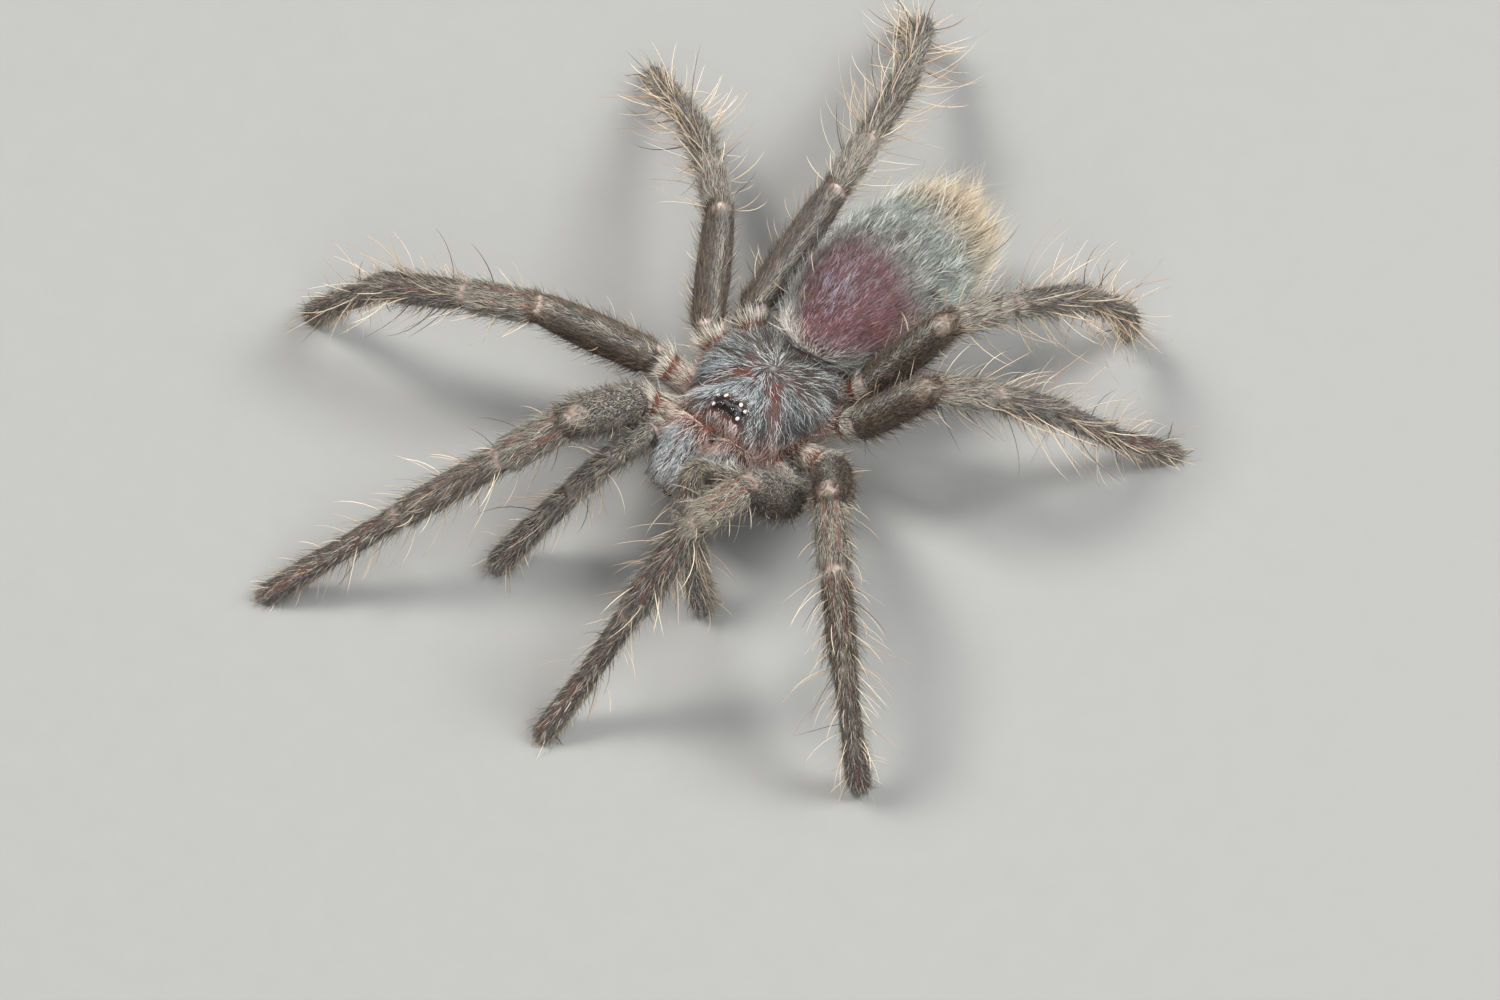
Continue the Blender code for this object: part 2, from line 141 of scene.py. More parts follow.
# --- Measuring the frame --------------------------------------------------------------------------
@dataclass
class Solid:
    """A CAD node's corners and edges, with coinciding corners merged."""

    node: str
    points: np.ndarray = field(init=False)
    edges: np.ndarray = field(init=False)

    def __post_init__(self) -> None:
        """Read the node's mesh."""
        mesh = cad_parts[self.node].data
        places = np.round(read(mesh.vertices, "co", np.float32, 3).astype(float) / MM, 4)
        self.points, index = np.unique(places, axis=0, return_inverse=True)
        self.edges = index.ravel()[read(mesh.edges, "vertices", np.int32, 2)]

    def gaps(self, other: "Solid") -> np.ndarray:
        """The distance from each of this solid's corners to the nearest corner of another."""
        return np.linalg.norm(self.points[:, None, :] - other.points[None, :, :], axis=2).min(axis=1)

    def rings(self, order: np.ndarray, count: int) -> list[np.ndarray]:
        """Walk a tube-like solid ring by ring: each next ring is what the last one's edges reach anew.

        Args:
            order: a value for each corner, lowest at the starting end.
            count: corners in the first ring.

        Returns:
            The points of each ring in order.
        """
        seen, found = np.zeros(len(order), dtype=bool), []
        seen[np.argsort(order)[:count]] = True
        ring = seen.copy()
        while ring.any():
            found.append(self.points[ring])
            reached = np.zeros_like(seen)
            reached[self.edges[ring[self.edges[:, 0]], 1]] = True
            reached[self.edges[ring[self.edges[:, 1]], 0]] = True
            ring = reached & ~seen
            seen |= ring
        return found

    def spans(self, axes: np.ndarray) -> tuple[np.ndarray, np.ndarray]:
        """The middle and the half sizes of the solid along three directions given as rows.

        Args:
            axes: the directions.

        Returns:
            The middle as a place, and the half sizes.
        """
        reach = self.points @ axes.T
        low, high = reach.min(axis=0), reach.max(axis=0)
        return ((low + high) / 2.0) @ axes, (high - low) / 2.0


def ring_radius(ring: np.ndarray) -> float:
    """The mean distance of a ring's points from their middle."""
    return float(np.linalg.norm(ring - ring.mean(axis=0), axis=1).mean())


# --- The body's forms -----------------------------------------------------------------------------
class Segment(Enum):
    """The segments of a leg or palp, from the body outwards."""

    COXA = 0
    TROCHANTER = 1
    FEMUR = 2
    PATELLA = 3
    TIBIA = 4
    METATARSUS = 5
    TARSUS = 6


@dataclass
class Where:
    """Where places lie on a form, one row for each place."""

    share: np.ndarray       # 0 to 1 along the form, or along the segment of a limb
    along: np.ndarray       # millimetres along the whole form
    around: np.ndarray      # angle from the top of the form, positive on its second side
    lie: np.ndarray         # direction that hair points in
    unwrapped: np.ndarray   # 0 to 1 along and 0 to 1 around
    segment: np.ndarray | int = 0       # number of a limb's segment
    to_end: np.ndarray | float = 0.0    # millimetres to that segment's far end


@dataclass
class Form:
    """One named shape that the skin is fused from."""

    name: str
    nodes: list[str]

    def surfaces(self) -> list[np.ndarray]:
        """Grids of points (stations, sides, 3) of the closed surfaces to fuse."""
        raise NotImplementedError

    def distance(self, points: np.ndarray) -> np.ndarray:
        """Rough distance of each place outside the form, negative inside it."""
        raise NotImplementedError

    def where(self, points: np.ndarray) -> Where:
        """Where each place lies on the form."""
        raise NotImplementedError


def tube(centre: np.ndarray, along: np.ndarray, top: np.ndarray, half: np.ndarray, sides: int) -> np.ndarray:
    """A tube's surface: middle + top * height * cos(angle) + side * width * sin(angle).

    Args:
        centre: middle of each station.
        along: direction of the tube, one for all stations or one for each.
        top: direction of its top, likewise.
        half: half width and half height at each station, or one radius for both.
        sides: points round each station.

    Returns:
        An array of shape (stations, sides, 3).
    """
    along, top = np.broadcast_to(along, centre.shape), np.broadcast_to(top, centre.shape)
    half, angles = np.broadcast_to(half, (len(centre), 2)), np.arange(sides) * (TURN / sides)
    side = unit(np.cross(along, top))
    top = unit(np.cross(side, along))
    spoke = (top[:, None, :] * (half[:, 1:, None] * np.cos(angles)[None, :, None])
             + side[:, None, :] * (half[:, :1, None] * np.sin(angles)[None, :, None]))
    return centre[:, None, :] + spoke


@dataclass
class Egg(Form):
    """A rounded body whose half sizes at a place along it follow (1 - |t| ^ power) ^ (1 / power)."""

    middle: np.ndarray
    half: np.ndarray            # half sizes along its axes
    axes: np.ndarray            # rows: to the side, towards the tail and towards the top
    power: float = 2.2          # higher for a squarer outline
    coat_depth: float = 0.12    # how far the skin lies below the solid
    whorl_drop: float = 0.0     # how far below the front pole the hair spreads from, in half heights
    nose: float = 0.0           # how far the front pole is drawn out
    nose_lift: float = 0.0      # and how far it is raised
    stations: int = 61
    sides: int = 48
    crowding: float = 0.995     # how near the end stations come to the poles

    @classmethod
    def of_solid(cls, node: str, along: tuple[float, float, float], **shape: float) -> "Egg":
        """Measure an egg from a CAD node that lies along a direction.

        Args:
            node: the CAD node.
            along: the direction towards the tail.
            shape: the egg's other fields.

        Returns:
            The egg.
        """
        tailward = unit(np.asarray(along))
        side = unit(np.cross(tailward, (0.0, 0.0, 1.0)))
        axes = np.array((side, tailward, np.cross(side, tailward)))
        return cls(node, [node], *Solid(node).spans(axes), axes, **shape)

    def surfaces(self) -> list[np.ndarray]:
        """One closed surface, its stations crowded towards both ends.

        Returns:
            A grid of points (stations, sides, 3), in a list.
        """
        reach = np.sin(np.linspace(-0.5, 0.5, self.stations) * math.pi * self.crowding)
        share = (1.0 - np.abs(reach) ** self.power) ** (1.0 / self.power)
        half = self.half - self.coat_depth
        front = np.clip(-reach, 0.0, 1.0) ** 2
        centre = self.middle + np.outer(reach * half[1] - front * self.nose, self.axes[1])
        centre += np.outer(front * self.nose_lift, self.axes[2])
        return [tube(centre, self.axes[1], self.axes[2], np.outer(share, half[::2]), self.sides)]

    def local(self, points: np.ndarray) -> np.ndarray:
        """Positions along the egg's own axes, with the drawn-out nose put back.

        Args:
            points: places, one per row.

        Returns:
            Distances to the side, towards the tail and towards the top.
        """
        local = (points - self.middle) @ self.axes.T
        front = np.clip(-local[:, 1] / self.half[1], 0.0, 1.0) ** 2
        local[:, 1] += front * self.nose
        local[:, 2] -= front * self.nose_lift
        return local

    def distance(self, points: np.ndarray) -> np.ndarray:
        """The gap to the egg, judged from the place's position in units of the half sizes."""
        shares = self.local(points) / (self.half - self.coat_depth)
        return (np.linalg.norm(shares, axis=1) - 1.0) * self.half.min()

    def where(self, points: np.ndarray) -> Where:
        """Place along and around the egg; hair spreads from below the front pole, towards the tail.

        Args:
            points: places, one per row.

        Returns:
            Where they lie on the egg.
        """
        local = self.local(points)
        share = np.clip(local[:, 1] / self.half[1] / 2.0 + 0.5, 0.0, 1.0)
        around = np.arctan2(local[:, 0], local[:, 2])
        whorl = (self.middle - self.axes[1] * (self.half[1] + self.nose)
                 + self.axes[2] * (self.nose_lift - self.half[2] * self.whorl_drop))
        lie = unit(unit(points - whorl) + 0.6 * self.axes[1])
        unwrapped = np.stack((share, around / TURN + 0.5), axis=1)
        return Where(share, share * (self.half[1] * 2.0), around, lie, unwrapped)


@dataclass
class Jaw(Egg):
    """One chelicera: an egg that reaches back under the carapace, higher than it is wide."""

    STEPS = (-0.24, -0.1, 0.0, 0.12, 0.3, 0.5, 0.7, 0.86, 0.95, 0.99, 1.0)      # shares of the length
    SHARES = (0.75, 0.85, 0.94, 1.0, 1.0, 1.0, 0.98, 0.9, 0.76, 0.5, 0.1)       # of the full size there

    stations: int = 60
    sides: int = 32
    bulge: float = 0.15         # wider and longer than the solid by this much
    spread: float = 0.04        # and further out
    flattening: float = 0.14    # share of the height lost towards the tip

    def surfaces(self) -> list[np.ndarray]:
        """A blunt tube that thins at its tip, and starts inside the head.

        Returns:
            A grid of points (stations, sides, 3), in a list.
        """
        fine = np.linspace(self.STEPS[0], 1.0, self.stations)
        share = np.interp(fine, self.STEPS, self.SHARES)
        half = self.half - self.coat_depth
        low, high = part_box("carapace")
        centre = self.middle + np.outer((2.0 * fine - 1.0) * half[1] + self.bulge * fine, self.axes[1])
        centre[:, 0] += np.sign(self.middle[0] - (low[0] + high[0]) / 2.0 / MM) * self.spread
        sizes = np.stack((share * (half[0] + self.bulge),
                          share * half[2] * (1.0 - self.flattening * fine)), axis=1)
        return [tube(centre, self.axes[1], self.axes[2], sizes, self.sides)]


@dataclass
class Shield(Form):
    """The carapace: a rim whose half width follows the distance from the front, under a low crown."""

    STOPS = (0.0, 0.12, 0.38, 0.68, 0.88, 1.0)      # shares of the length
    HEIGHTS = (0.78, 1.0, 1.0, 0.78, 0.5, 0.15)     # of the crown's height there

    tubercle_half_width: float = 0.56
    tubercle_half_length: float = 0.36
    tubercle_height: float = 0.27
    coat_depth: float = 0.07
    fovea_share: float = 0.63           # of the length, from the front, to the pit that hair spreads from
    fovea_drop: float = 0.35            # how far the pit lies below the solid's top
    swirl: float = 0.9                  # turn of the hair beside the pit, in radians
    swirl_reach: float = 0.45           # distance over which that turn fades
    rim: float = 0.12                   # half thickness of the rim
    crown_drop: float = 0.38            # how far the crown lies below the eye mound
    edge: float = 0.035                 # share of the length that each end rounds off over
    squareness: float = 0.8             # power of the cross-section: 1 is an ellipse, less is squarer
    stations: int = 90
    sides: int = 72
    flesh_stations: int = 30
    flesh_sides: int = 32
    flesh_half: tuple[float, float, float] = (1.9, 2.05, 0.55)      # half width, length and height
    flesh_forward: float = 0.75         # how far the flesh's middle lies before the pit
    flesh_drop: float = 0.25            # and below the rim
    dome_height: float = 1.35           # of the dome that distances are judged from
    low: np.ndarray = field(init=False)
    high: np.ndarray = field(init=False)
    size: np.ndarray = field(init=False)
    eyes: np.ndarray = field(init=False)        # middles of the eyes

    def __post_init__(self) -> None:
        """Measure the carapace and the eyes."""
        low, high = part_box(self.nodes[0])
        self.low, self.high = np.array(low) / MM, np.array(high) / MM
        self.size = self.high - self.low
        self.eyes = np.array([np.mean([np.array(corner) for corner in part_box(node)], axis=0) / MM
                              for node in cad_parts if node.startswith("eye_")])

    @property
    def middle_x(self) -> float:
        """Where the midline lies."""
        return float((self.low[0] + self.high[0]) / 2.0)

    @property
    def fovea(self) -> np.ndarray:
        """The pit on the thorax, on the midline."""
        y = self.low[1] + self.fovea_share * self.size[1]
        return np.array((self.middle_x, y, self.high[2] - self.fovea_drop))

    def half_width(self, share: np.ndarray) -> np.ndarray:
        """A squared head that widens to the thorax and rounds off behind.

        The front is 0.74 of the full width. It widens with the power 1.3 of the distance to the
        middle, and from there the outline follows the square root of 1 - t ^ 2.4.

        Args:
            share: shares of the length, from the front.

        Returns:
            The half width at each.
        """
        head = 0.74 + 0.26 * np.clip(share / 0.5, 0.0, 1.0) ** 1.3
        tail = np.sqrt(np.clip(1.0 - (np.clip(share - 0.5, 0.0, 1.0) / 0.52) ** 2.4, 0.0, 1.0))
        return self.size[0] / 2.0 * head * tail

    def crown(self, share: np.ndarray) -> np.ndarray:
        """Height of the midline above the rim: high over the head, falling behind the fovea."""
        return (self.size[2] - self.crown_drop) * np.interp(share, self.STOPS, self.HEIGHTS)

    def eye_gap(self, points: np.ndarray) -> np.ndarray:
        """Distance from a place to the middle of the nearest eye."""
        return np.linalg.norm(points[:, None, :] - self.eyes[None, :, :], axis=2).min(axis=1)

    def mound(self, points: np.ndarray) -> np.ndarray:
        """How far a place stands on the eye tubercle: e to the power -(x ^ 4) - y ^ 2, from 0 to 1.

        Args:
            points: places, one per row.

        Returns:
            One value per place.
        """
        x = (points[..., 0] - self.middle_x) / self.tubercle_half_width
        y = (points[..., 1] - self.eyes.mean(axis=0)[1]) / self.tubercle_half_length
        return np.exp(-(x ** 4) - y ** 2)

    def surfaces(self) -> list[np.ndarray]:
        """The domed shield, with rounded front and rear edges, and the flesh between it and the hips.

        A cross-section is an ellipse with its cosine and sine raised to the squareness. At both ends,
        as edge goes from 0 to 1, the half width grows from 0.75 of itself and the crown from 0.35.

        Returns:
            Two grids of points (stations, sides, 3).
        """
        share = 0.5 - 0.5 * np.cos(np.linspace(0.02, math.pi - 0.02, self.stations))
        angles = np.arange(self.sides) * (TURN / self.sides)
        length = self.size[1] - 2.0 * self.coat_depth
        edge = np.clip(np.minimum(share, 1.0 - share) / self.edge, 0.0, 1.0) ** 0.5
        half = (self.half_width(share) - self.coat_depth) * (0.75 + 0.25 * edge)
        grid = np.empty((len(share), len(angles), 3))
        cosine, sine = np.cos(angles), np.sin(angles)
        grid[..., 0] = self.middle_x + half[:, None] * np.sign(cosine) * np.abs(cosine) ** self.squareness
        grid[..., 1] = (self.low[1] + self.coat_depth + share * length)[:, None]
        upper = np.abs(sine) ** self.squareness
        crown = ((self.crown(share) - self.coat_depth) * (0.35 + 0.65 * edge))[:, None]
        mound = self.tubercle_height + self.coat_depth * 1.2
        up = crown * upper + mound * self.mound(grid) * upper
        grid[..., 2] = self.low[2] + self.rim + np.where(sine > 0.0, up, -self.rim * upper)
        return [grid, self.flesh()]

    def flesh(self) -> np.ndarray:
        """An egg of flesh along the midline, between the shield and the hips.

        Returns:
            A grid of points (stations, sides, 3).
        """
        count, (wide, long, high) = self.flesh_stations, self.flesh_half
        reach = np.sin(np.linspace(-0.5, 0.5, count) * math.pi * 0.99)
        centre = np.stack((np.full(count, self.middle_x), self.fovea[1] - self.flesh_forward + long * reach,
                           np.full(count, self.low[2] - self.flesh_drop)), axis=1)
        sizes = np.outer(np.sqrt(1.0 - reach ** 2), (wide, high))
        return tube(centre, (0.0, 1.0, 0.0), (0.0, 0.0, 1.0), sizes, self.flesh_sides)

    def distance(self, points: np.ndarray) -> np.ndarray:
        """The gap to a dome over the rim; places below the rim count as further off.

        The gap is 1.3 times what the place's position, in units of the dome's half sizes, is beyond 1.
        Each millimetre below the rim counts as three more.

        Args:
            points: places, one per row.

        Returns:
            One distance per place.
        """
        middle = np.array((self.middle_x, (self.low[1] + self.high[1]) / 2.0, self.low[2] + 0.1))
        half = np.array((self.size[0] / 2.0, self.size[1] / 2.0, self.dome_height))
        gap = (np.linalg.norm((points - middle) / half, axis=1) - 1.0) * 1.3
        return gap + 3.0 * np.clip(self.low[2] - points[:, 2], 0.0, None)

    def where(self, points: np.ndarray) -> Where:
        """Along is the distance from the fovea and around the bearing from straight ahead.

        Hair points away from the fovea.

        Args:
            points: places, one per row.

        Returns:
            Where they lie on the shield.
        """
        out = points - self.fovea
        away = np.hypot(out[:, 0], out[:, 1])
        bearing = np.arctan2(out[:, 0], -out[:, 1])
        swirl = self.swirl * np.exp(-away / self.swirl_reach)
        lie = np.stack((out[:, 0] * np.cos(swirl) - out[:, 1] * np.sin(swirl),
                        out[:, 0] * np.sin(swirl) + out[:, 1] * np.cos(swirl), np.zeros(len(out))), axis=1)
        unwrapped = np.clip((points - self.low)[:, :2] / self.size[:2], 0.0, 1.0)
        return Where(unwrapped[:, 1], away, bearing, unit(lie), unwrapped)


@dataclass
class Limb(Form):
    """A leg or a palp: straight segments between measured joints, narrowed at every joint."""

    number: int                          # 1 to 4 for legs, 0 for a palp
    coat_depths: tuple[float, ...] = (0.11, 0.1, 0.09, 0.08, 0.08, 0.06, 0.02)     # for each Segment
    waist: float = 0.2                   # share of the radius lost at each joint
    waist_length: float = 0.13
    bend_softness: int = 4               # stations that a bend is smoothed over
    station: float = 0.12                # rough length from one station to the next
    sides: int = 20
    tip_crowding: float = 1.5            # how much closer together the stations lie at the foot's tip
    tip_radius: float = 0.06
    solid_ring: int = 12                 # corners in a ring of the CAD solids
    sole: float = 0.001                  # corners below this height are the foot's sole
    coxa_inward: float = 1.9             # length of coxa buried between its knob and the sternum
    joints: np.ndarray = field(init=False)
    radii: np.ndarray = field(init=False)
    kinds: list[Segment] = field(init=False)

    def __post_init__(self) -> None:
        """Walk the limb's solids to find its joints and radii."""
        solids = [Solid(node) for node in self.nodes]
        before = [Solid("sternum_and_coxae"), *solids]
        chains = [solid.rings(solid.gaps(last), self.solid_ring) for last, solid in zip(before, solids)]
        femur, foot = chains[0], chains[-1]
        knob, hip = femur[0].mean(axis=0), femur[2].mean(axis=0)
        places = [knob - unit(hip - knob) * self.coxa_inward, knob, hip]
        places += [(last[-1].mean(axis=0) + first[0].mean(axis=0)) / 2.0
                   for last, first in zip(chains, chains[1:])]
        self.radii = [ring_radius(femur[0]), ring_radius(femur[1]), ring_radius(femur[4])]
        self.radii += [ring_radius(chain[1]) for chain in chains[1:]]
        self.kinds = [Segment.COXA, Segment.TROCHANTER, Segment.FEMUR, Segment.PATELLA, Segment.TIBIA]
        if self.number:
            places.append(foot[3].mean(axis=0))
            self.kinds.append(Segment.METATARSUS)
            self.radii.append(ring_radius(foot[4]))
        self.kinds.append(Segment.TARSUS)
        corners = solids[-1].points
        sole = corners[corners[:, 2] < self.sole].mean(axis=0)
        heading = unit(sole - places[-1])
        reach = float(((corners - places[-1]) @ heading).max())
        places.append(places[-1] + heading * (reach - self.tip_radius) + (0.0, 0.0, self.tip_radius))
        self.joints = np.array(places)
        self.radii = np.array(self.radii) - np.array([self.coat_depths[kind.value] for kind in self.kinds])

    @property
    def steps(self) -> np.ndarray:
        """The way from each joint to the next."""
        return np.diff(self.joints, axis=0)

    @property
    def lengths(self) -> np.ndarray:
        """The length of each segment."""
        return np.linalg.norm(self.steps, axis=1)

    @property
    def directions(self) -> np.ndarray:
        """The direction of each segment."""
        return unit(self.steps)

    @property
    def across(self) -> np.ndarray:
        """The direction square to the plane that the limb bends in.

        Returns:
            One direction, on the side that lets the upper side look up.
        """
        ways = self.directions[2:]
        square = unit(np.cross(ways[:-1], ways[1:]).sum(axis=0))
        top = np.cross(ways[0], square)
        return square if top[2] > 0.0 else -square

    def tops(self) -> np.ndarray:
        """The direction of each segment's upper side."""
        return unit(np.cross(self.directions, self.across))

    def profile(self, kind: Segment, share: np.ndarray, length: float) -> np.ndarray:
        """Radius along a segment as a share of its size: a slow swell, and a waist at both joints.

        The last one has half a waist at its joint, and its tip rounds off as the square root of what
        is left of the length.

        Args:
            kind: the segment.
            share: shares of its length, from its near end.
            length: of the segment.

        Returns:
            The radius at each share, against the segment's.
        """
        swell = {
            Segment.COXA: 0.92 + 0.1 * share,
            Segment.TROCHANTER: 0.98 + 0.06 * np.sin(share * math.pi),
            Segment.FEMUR: 0.9 + 0.14 * np.sin(np.clip(share * 1.1, 0.0, 1.0) * math.pi) ** 0.7,
            Segment.PATELLA: 0.94 + 0.12 * share * np.sin(share * math.pi) ** 0.3,
            Segment.TIBIA: 1.0 + 0.05 * np.sin(share * math.pi),
            Segment.METATARSUS: 1.02 - 0.08 * share,
            Segment.TARSUS: 1.0 + 0.05 * np.sin(share * math.pi),
        }[kind]
        near, far = share * length, (1.0 - share) * length
        narrowing = hill(near, 0.0, self.waist_length)
        if kind is Segment.TARSUS:
            rounded = np.sqrt(np.clip(far / (0.9 * self.radii[-1]), 0.0, 1.0))
            return swell * (1.0 - self.waist * 0.5 * narrowing) * np.maximum(rounded, 0.05)
        return swell * (1.0 - self.waist * (narrowing + hill(far, 0.0, self.waist_length)))

    def surfaces(self) -> list[np.ndarray]:
        """One tube over all segments, its middle line rounded a little at the joints.

        Returns:
            A grid of points (stations, sides, 3), in a list.
        """
        middles, sizes, tops, upward = [], [], [], self.tops()
        for i, (kind, length) in enumerate(zip(self.kinds, self.lengths)):
            count = max(4, round(length / self.station))
            last = i == len(self.kinds) - 1
            share = np.linspace(0.0, 1.0, count, endpoint=last)
            if last:
                share = 1.0 - (1.0 - share) ** self.tip_crowding
            middles.append(self.joints[i] + np.outer(share * length, self.directions[i]))
            sizes.append(self.radii[i] * self.profile(kind, share, length))
            tops.append(np.broadcast_to(upward[i], (len(share), 3)))
        middle, size, top = np.concatenate(middles), np.concatenate(sizes), np.concatenate(tops)
        for _ in range(self.bend_softness):
            middle[1:-1] = (middle[:-2] + 2.0 * middle[1:-1] + middle[2:]) / 4.0
            top[1:-1] = (top[:-2] + 2.0 * top[1:-1] + top[2:]) / 4.0
        return [tube(middle, np.gradient(middle, axis=0), top, size[:, None], self.sides)]

    def nearest(self, points: np.ndarray) -> tuple[np.ndarray, np.ndarray, np.ndarray]:
        """The nearest segment of each place, its share along it, and the gap to its surface.

        Args:
            points: places, one per row.

        Returns:
            The number of the segment in this limb, the share and the gap of each place.
        """
        steps, offsets = self.steps, points[:, None, :] - self.joints[None, :-1, :]
        share = np.clip(dot(offsets, steps) / dot(steps, steps), 0.0, 1.0)
        gaps = np.linalg.norm(offsets - share[..., None] * steps, axis=2) - self.radii
        rows, segment = np.arange(len(points)), gaps.argmin(axis=1)
        return segment, share[rows, segment], gaps[rows, segment]

    def distance(self, points: np.ndarray) -> np.ndarray:
        """The gap to the nearest segment."""
        return self.nearest(points)[2]

    def where(self, points: np.ndarray) -> Where:
        """Place along and around the nearest segment; hair points towards the foot.

        Args:
            points: places, one per row.

        Returns:
            Where they lie on the limb.
        """
        index, share, _ = self.nearest(points)
        starts, length = np.concatenate(((0.0,), np.cumsum(self.lengths))), self.lengths[index]
        along = starts[index] + share * length
        out = points - self.joints[index] - share[:, None] * self.steps[index]
        around = np.arctan2(dot(out, self.across), dot(out, self.tops()[index]))
        unwrapped = np.stack((along / starts[-1], around / TURN + 0.5), axis=1)
        kinds = np.array([kind.value for kind in self.kinds])[index]
        return Where(share, along, around, self.directions[index], unwrapped, kinds, (1.0 - share) * length)


# --- The fused skin -------------------------------------------------------------------------------
@dataclass
class Surface:
    """A closed surface of four-sided faces."""

    BACK = 1.03         # the step back when it relaxes, against the step towards the mean

    points: np.ndarray
    faces: np.ndarray

    def normals(self) -> np.ndarray:
        """Outward directions at the points: the mean of the faces' normals, weighted by area.

        Returns:
            One direction per point.
        """
        corners = self.points[self.faces]
        square = np.cross(corners[:, 2] - corners[:, 0], corners[:, 3] - corners[:, 1])
        total = np.empty_like(self.points)
        for axis in range(3):
            weights = np.repeat(square[:, axis], 4)
            total[:, axis] = np.bincount(self.faces.ravel(), weights, len(self.points))
        return unit(total)

    def relax(self, rounds: int, share: float) -> None:
        """Even the surface out: each point moves towards the mean of its neighbours, then back a little.

        Args:
            rounds: how often.
            share: of the way to the mean that a step goes.
        """
        first = self.faces.ravel()
        second = np.roll(self.faces, -1, axis=1).ravel()
        count = np.bincount(first, minlength=len(self.points)) * 2.0
        for amount in (share, -share * self.BACK) * rounds:
            mean = np.empty_like(self.points)
            for axis in range(3):
                values = self.points[:, axis]
                mean[:, axis] = (np.bincount(first, values[second], len(values))
                                 + np.bincount(second, values[first], len(values))) / count
            self.points = self.points + (mean - self.points) * amount


def grid_faces(stations: int, sides: int) -> list[tuple[int, ...]]:
    """Faces of a closed tube grid: four-sided between stations, with one flat cap at each end.

    Args:
        stations: rings of the grid.
        sides: points in each.

    Returns:
        Each face's corners.
    """
    row, column = np.meshgrid(np.arange(stations - 1), np.arange(sides), indexing="ij")
    after = (column + 1) % sides
    walls = np.stack((row * sides + column, row * sides + after,
                      (row + 1) * sides + after, (row + 1) * sides + column), axis=-1).reshape(-1, 4)
    first_cap = tuple(range(sides))[::-1]
    last_cap = tuple(range((stations - 1) * sides, stations * sides))
    return [*map(tuple, walls.tolist()), first_cap, last_cap]


def fuse(grids: list[np.ndarray], voxel: float) -> Surface:
    """Fuse overlapping closed grids into one surface with a voxel remesh.

    Args:
        grids: arrays of shape (stations, sides, 3), in millimetres.
        voxel: size of the remesh's cells.

    Returns:
        The one outer surface of them all.
    """
    points, faces, start = [], [], 0
    for grid in grids:
        stations, sides = grid.shape[:2]
        points.append(grid.reshape(-1, 3))
        faces += [tuple(corner + start for corner in face) for face in grid_faces(stations, sides)]
        start += stations * sides
    mesh = bpy.data.meshes.new("forms")
    mesh.from_pydata(np.concatenate(points).tolist(), [], faces)
    rough = bpy.data.objects.new("forms", mesh)
    bpy.context.scene.collection.objects.link(rough)
    remesh = rough.modifiers.new("fuse", "REMESH")
    remesh.mode = "VOXEL"
    remesh.voxel_size = voxel
    remesh.adaptivity = 0.0
    shape = rough.evaluated_get(bpy.context.evaluated_depsgraph_get()).to_mesh()
    surface = Surface(read(shape.vertices, "co", np.float32, 3).astype(float),
                      read(shape.loops, "vertex_index", np.int32, 1).reshape(-1, 4).astype(int))
    rough.to_mesh_clear()
    bpy.data.objects.remove(rough)
    bpy.data.meshes.remove(mesh)
    return surface


# --- Markings, shared by the skin and the coat ----------------------------------------------------
@dataclass
class Look:
    """What skin and coat are like at many places: a row or number for each place, or one for them all."""

    skin: np.ndarray                            # colour of the skin
    hair: np.ndarray                            # colour of most of the hairs
    pale: np.ndarray                            # colour of the palest hairs
    pale_share: np.ndarray | float = 0.3        # share of the hairs that are pale
    dark_share: np.ndarray | float = 0.24       # share of the hairs that are near black
    density: np.ndarray | float = 1.0           # hairs, against a full coat's
    guard: np.ndarray | float = 1.0             # hairs that stand out a little, against the usual number
    length: np.ndarray | float = 0.42           # of the short hair
    lift: np.ndarray | float = 0.34             # angle between short hair and skin at its root
    gloss: np.ndarray | float = 0.15            # 0 for dull skin, 1 for shining plates
    swell: np.ndarray | float = 0.0             # how far the skin stands out from the form
    setae: np.ndarray | float = 0.0             # long hairs for each square millimetre
    setae_length: np.ndarray | float = 1.0

    def tint(self, share: np.ndarray, **colours: np.ndarray) -> None:
        """Blend the colours that are named towards new ones."""
        for name, colour in colours.items():
            setattr(self, name, mix(getattr(self, name), colour, share))

    def change(self, share: np.ndarray, density: float = 0.0, **amounts: float) -> None:
        """Make the coat denser (or thinner, below 0) by a part of itself, and add to the fields named.

        Args:
            share: 0 to 1 at each place.
            density: the part by which the coat changes there.
            amounts: what is added there to each field named.
        """
        self.density = self.density * (1.0 + density * share)
        for name, amount in amounts.items():
            setattr(self, name, getattr(self, name) + amount * share)


@dataclass(frozen=True)
class Markings:
    """The colours that every part of the body has."""

    skin: np.ndarray
    hair: np.ndarray
    pale: np.ndarray

    def even(self) -> Look:
        """The same look everywhere, to be changed where the markings differ."""
        return Look(self.skin, self.hair, self.pale)

    def look(self, form: Form, places: Where, points: np.ndarray) -> Look:
        """The markings on a form.

        Args:
            form: the form.
            places: where the points lie on it.
            points: the points themselves.

        Returns:
            The look at each point.
        """
        raise NotImplementedError


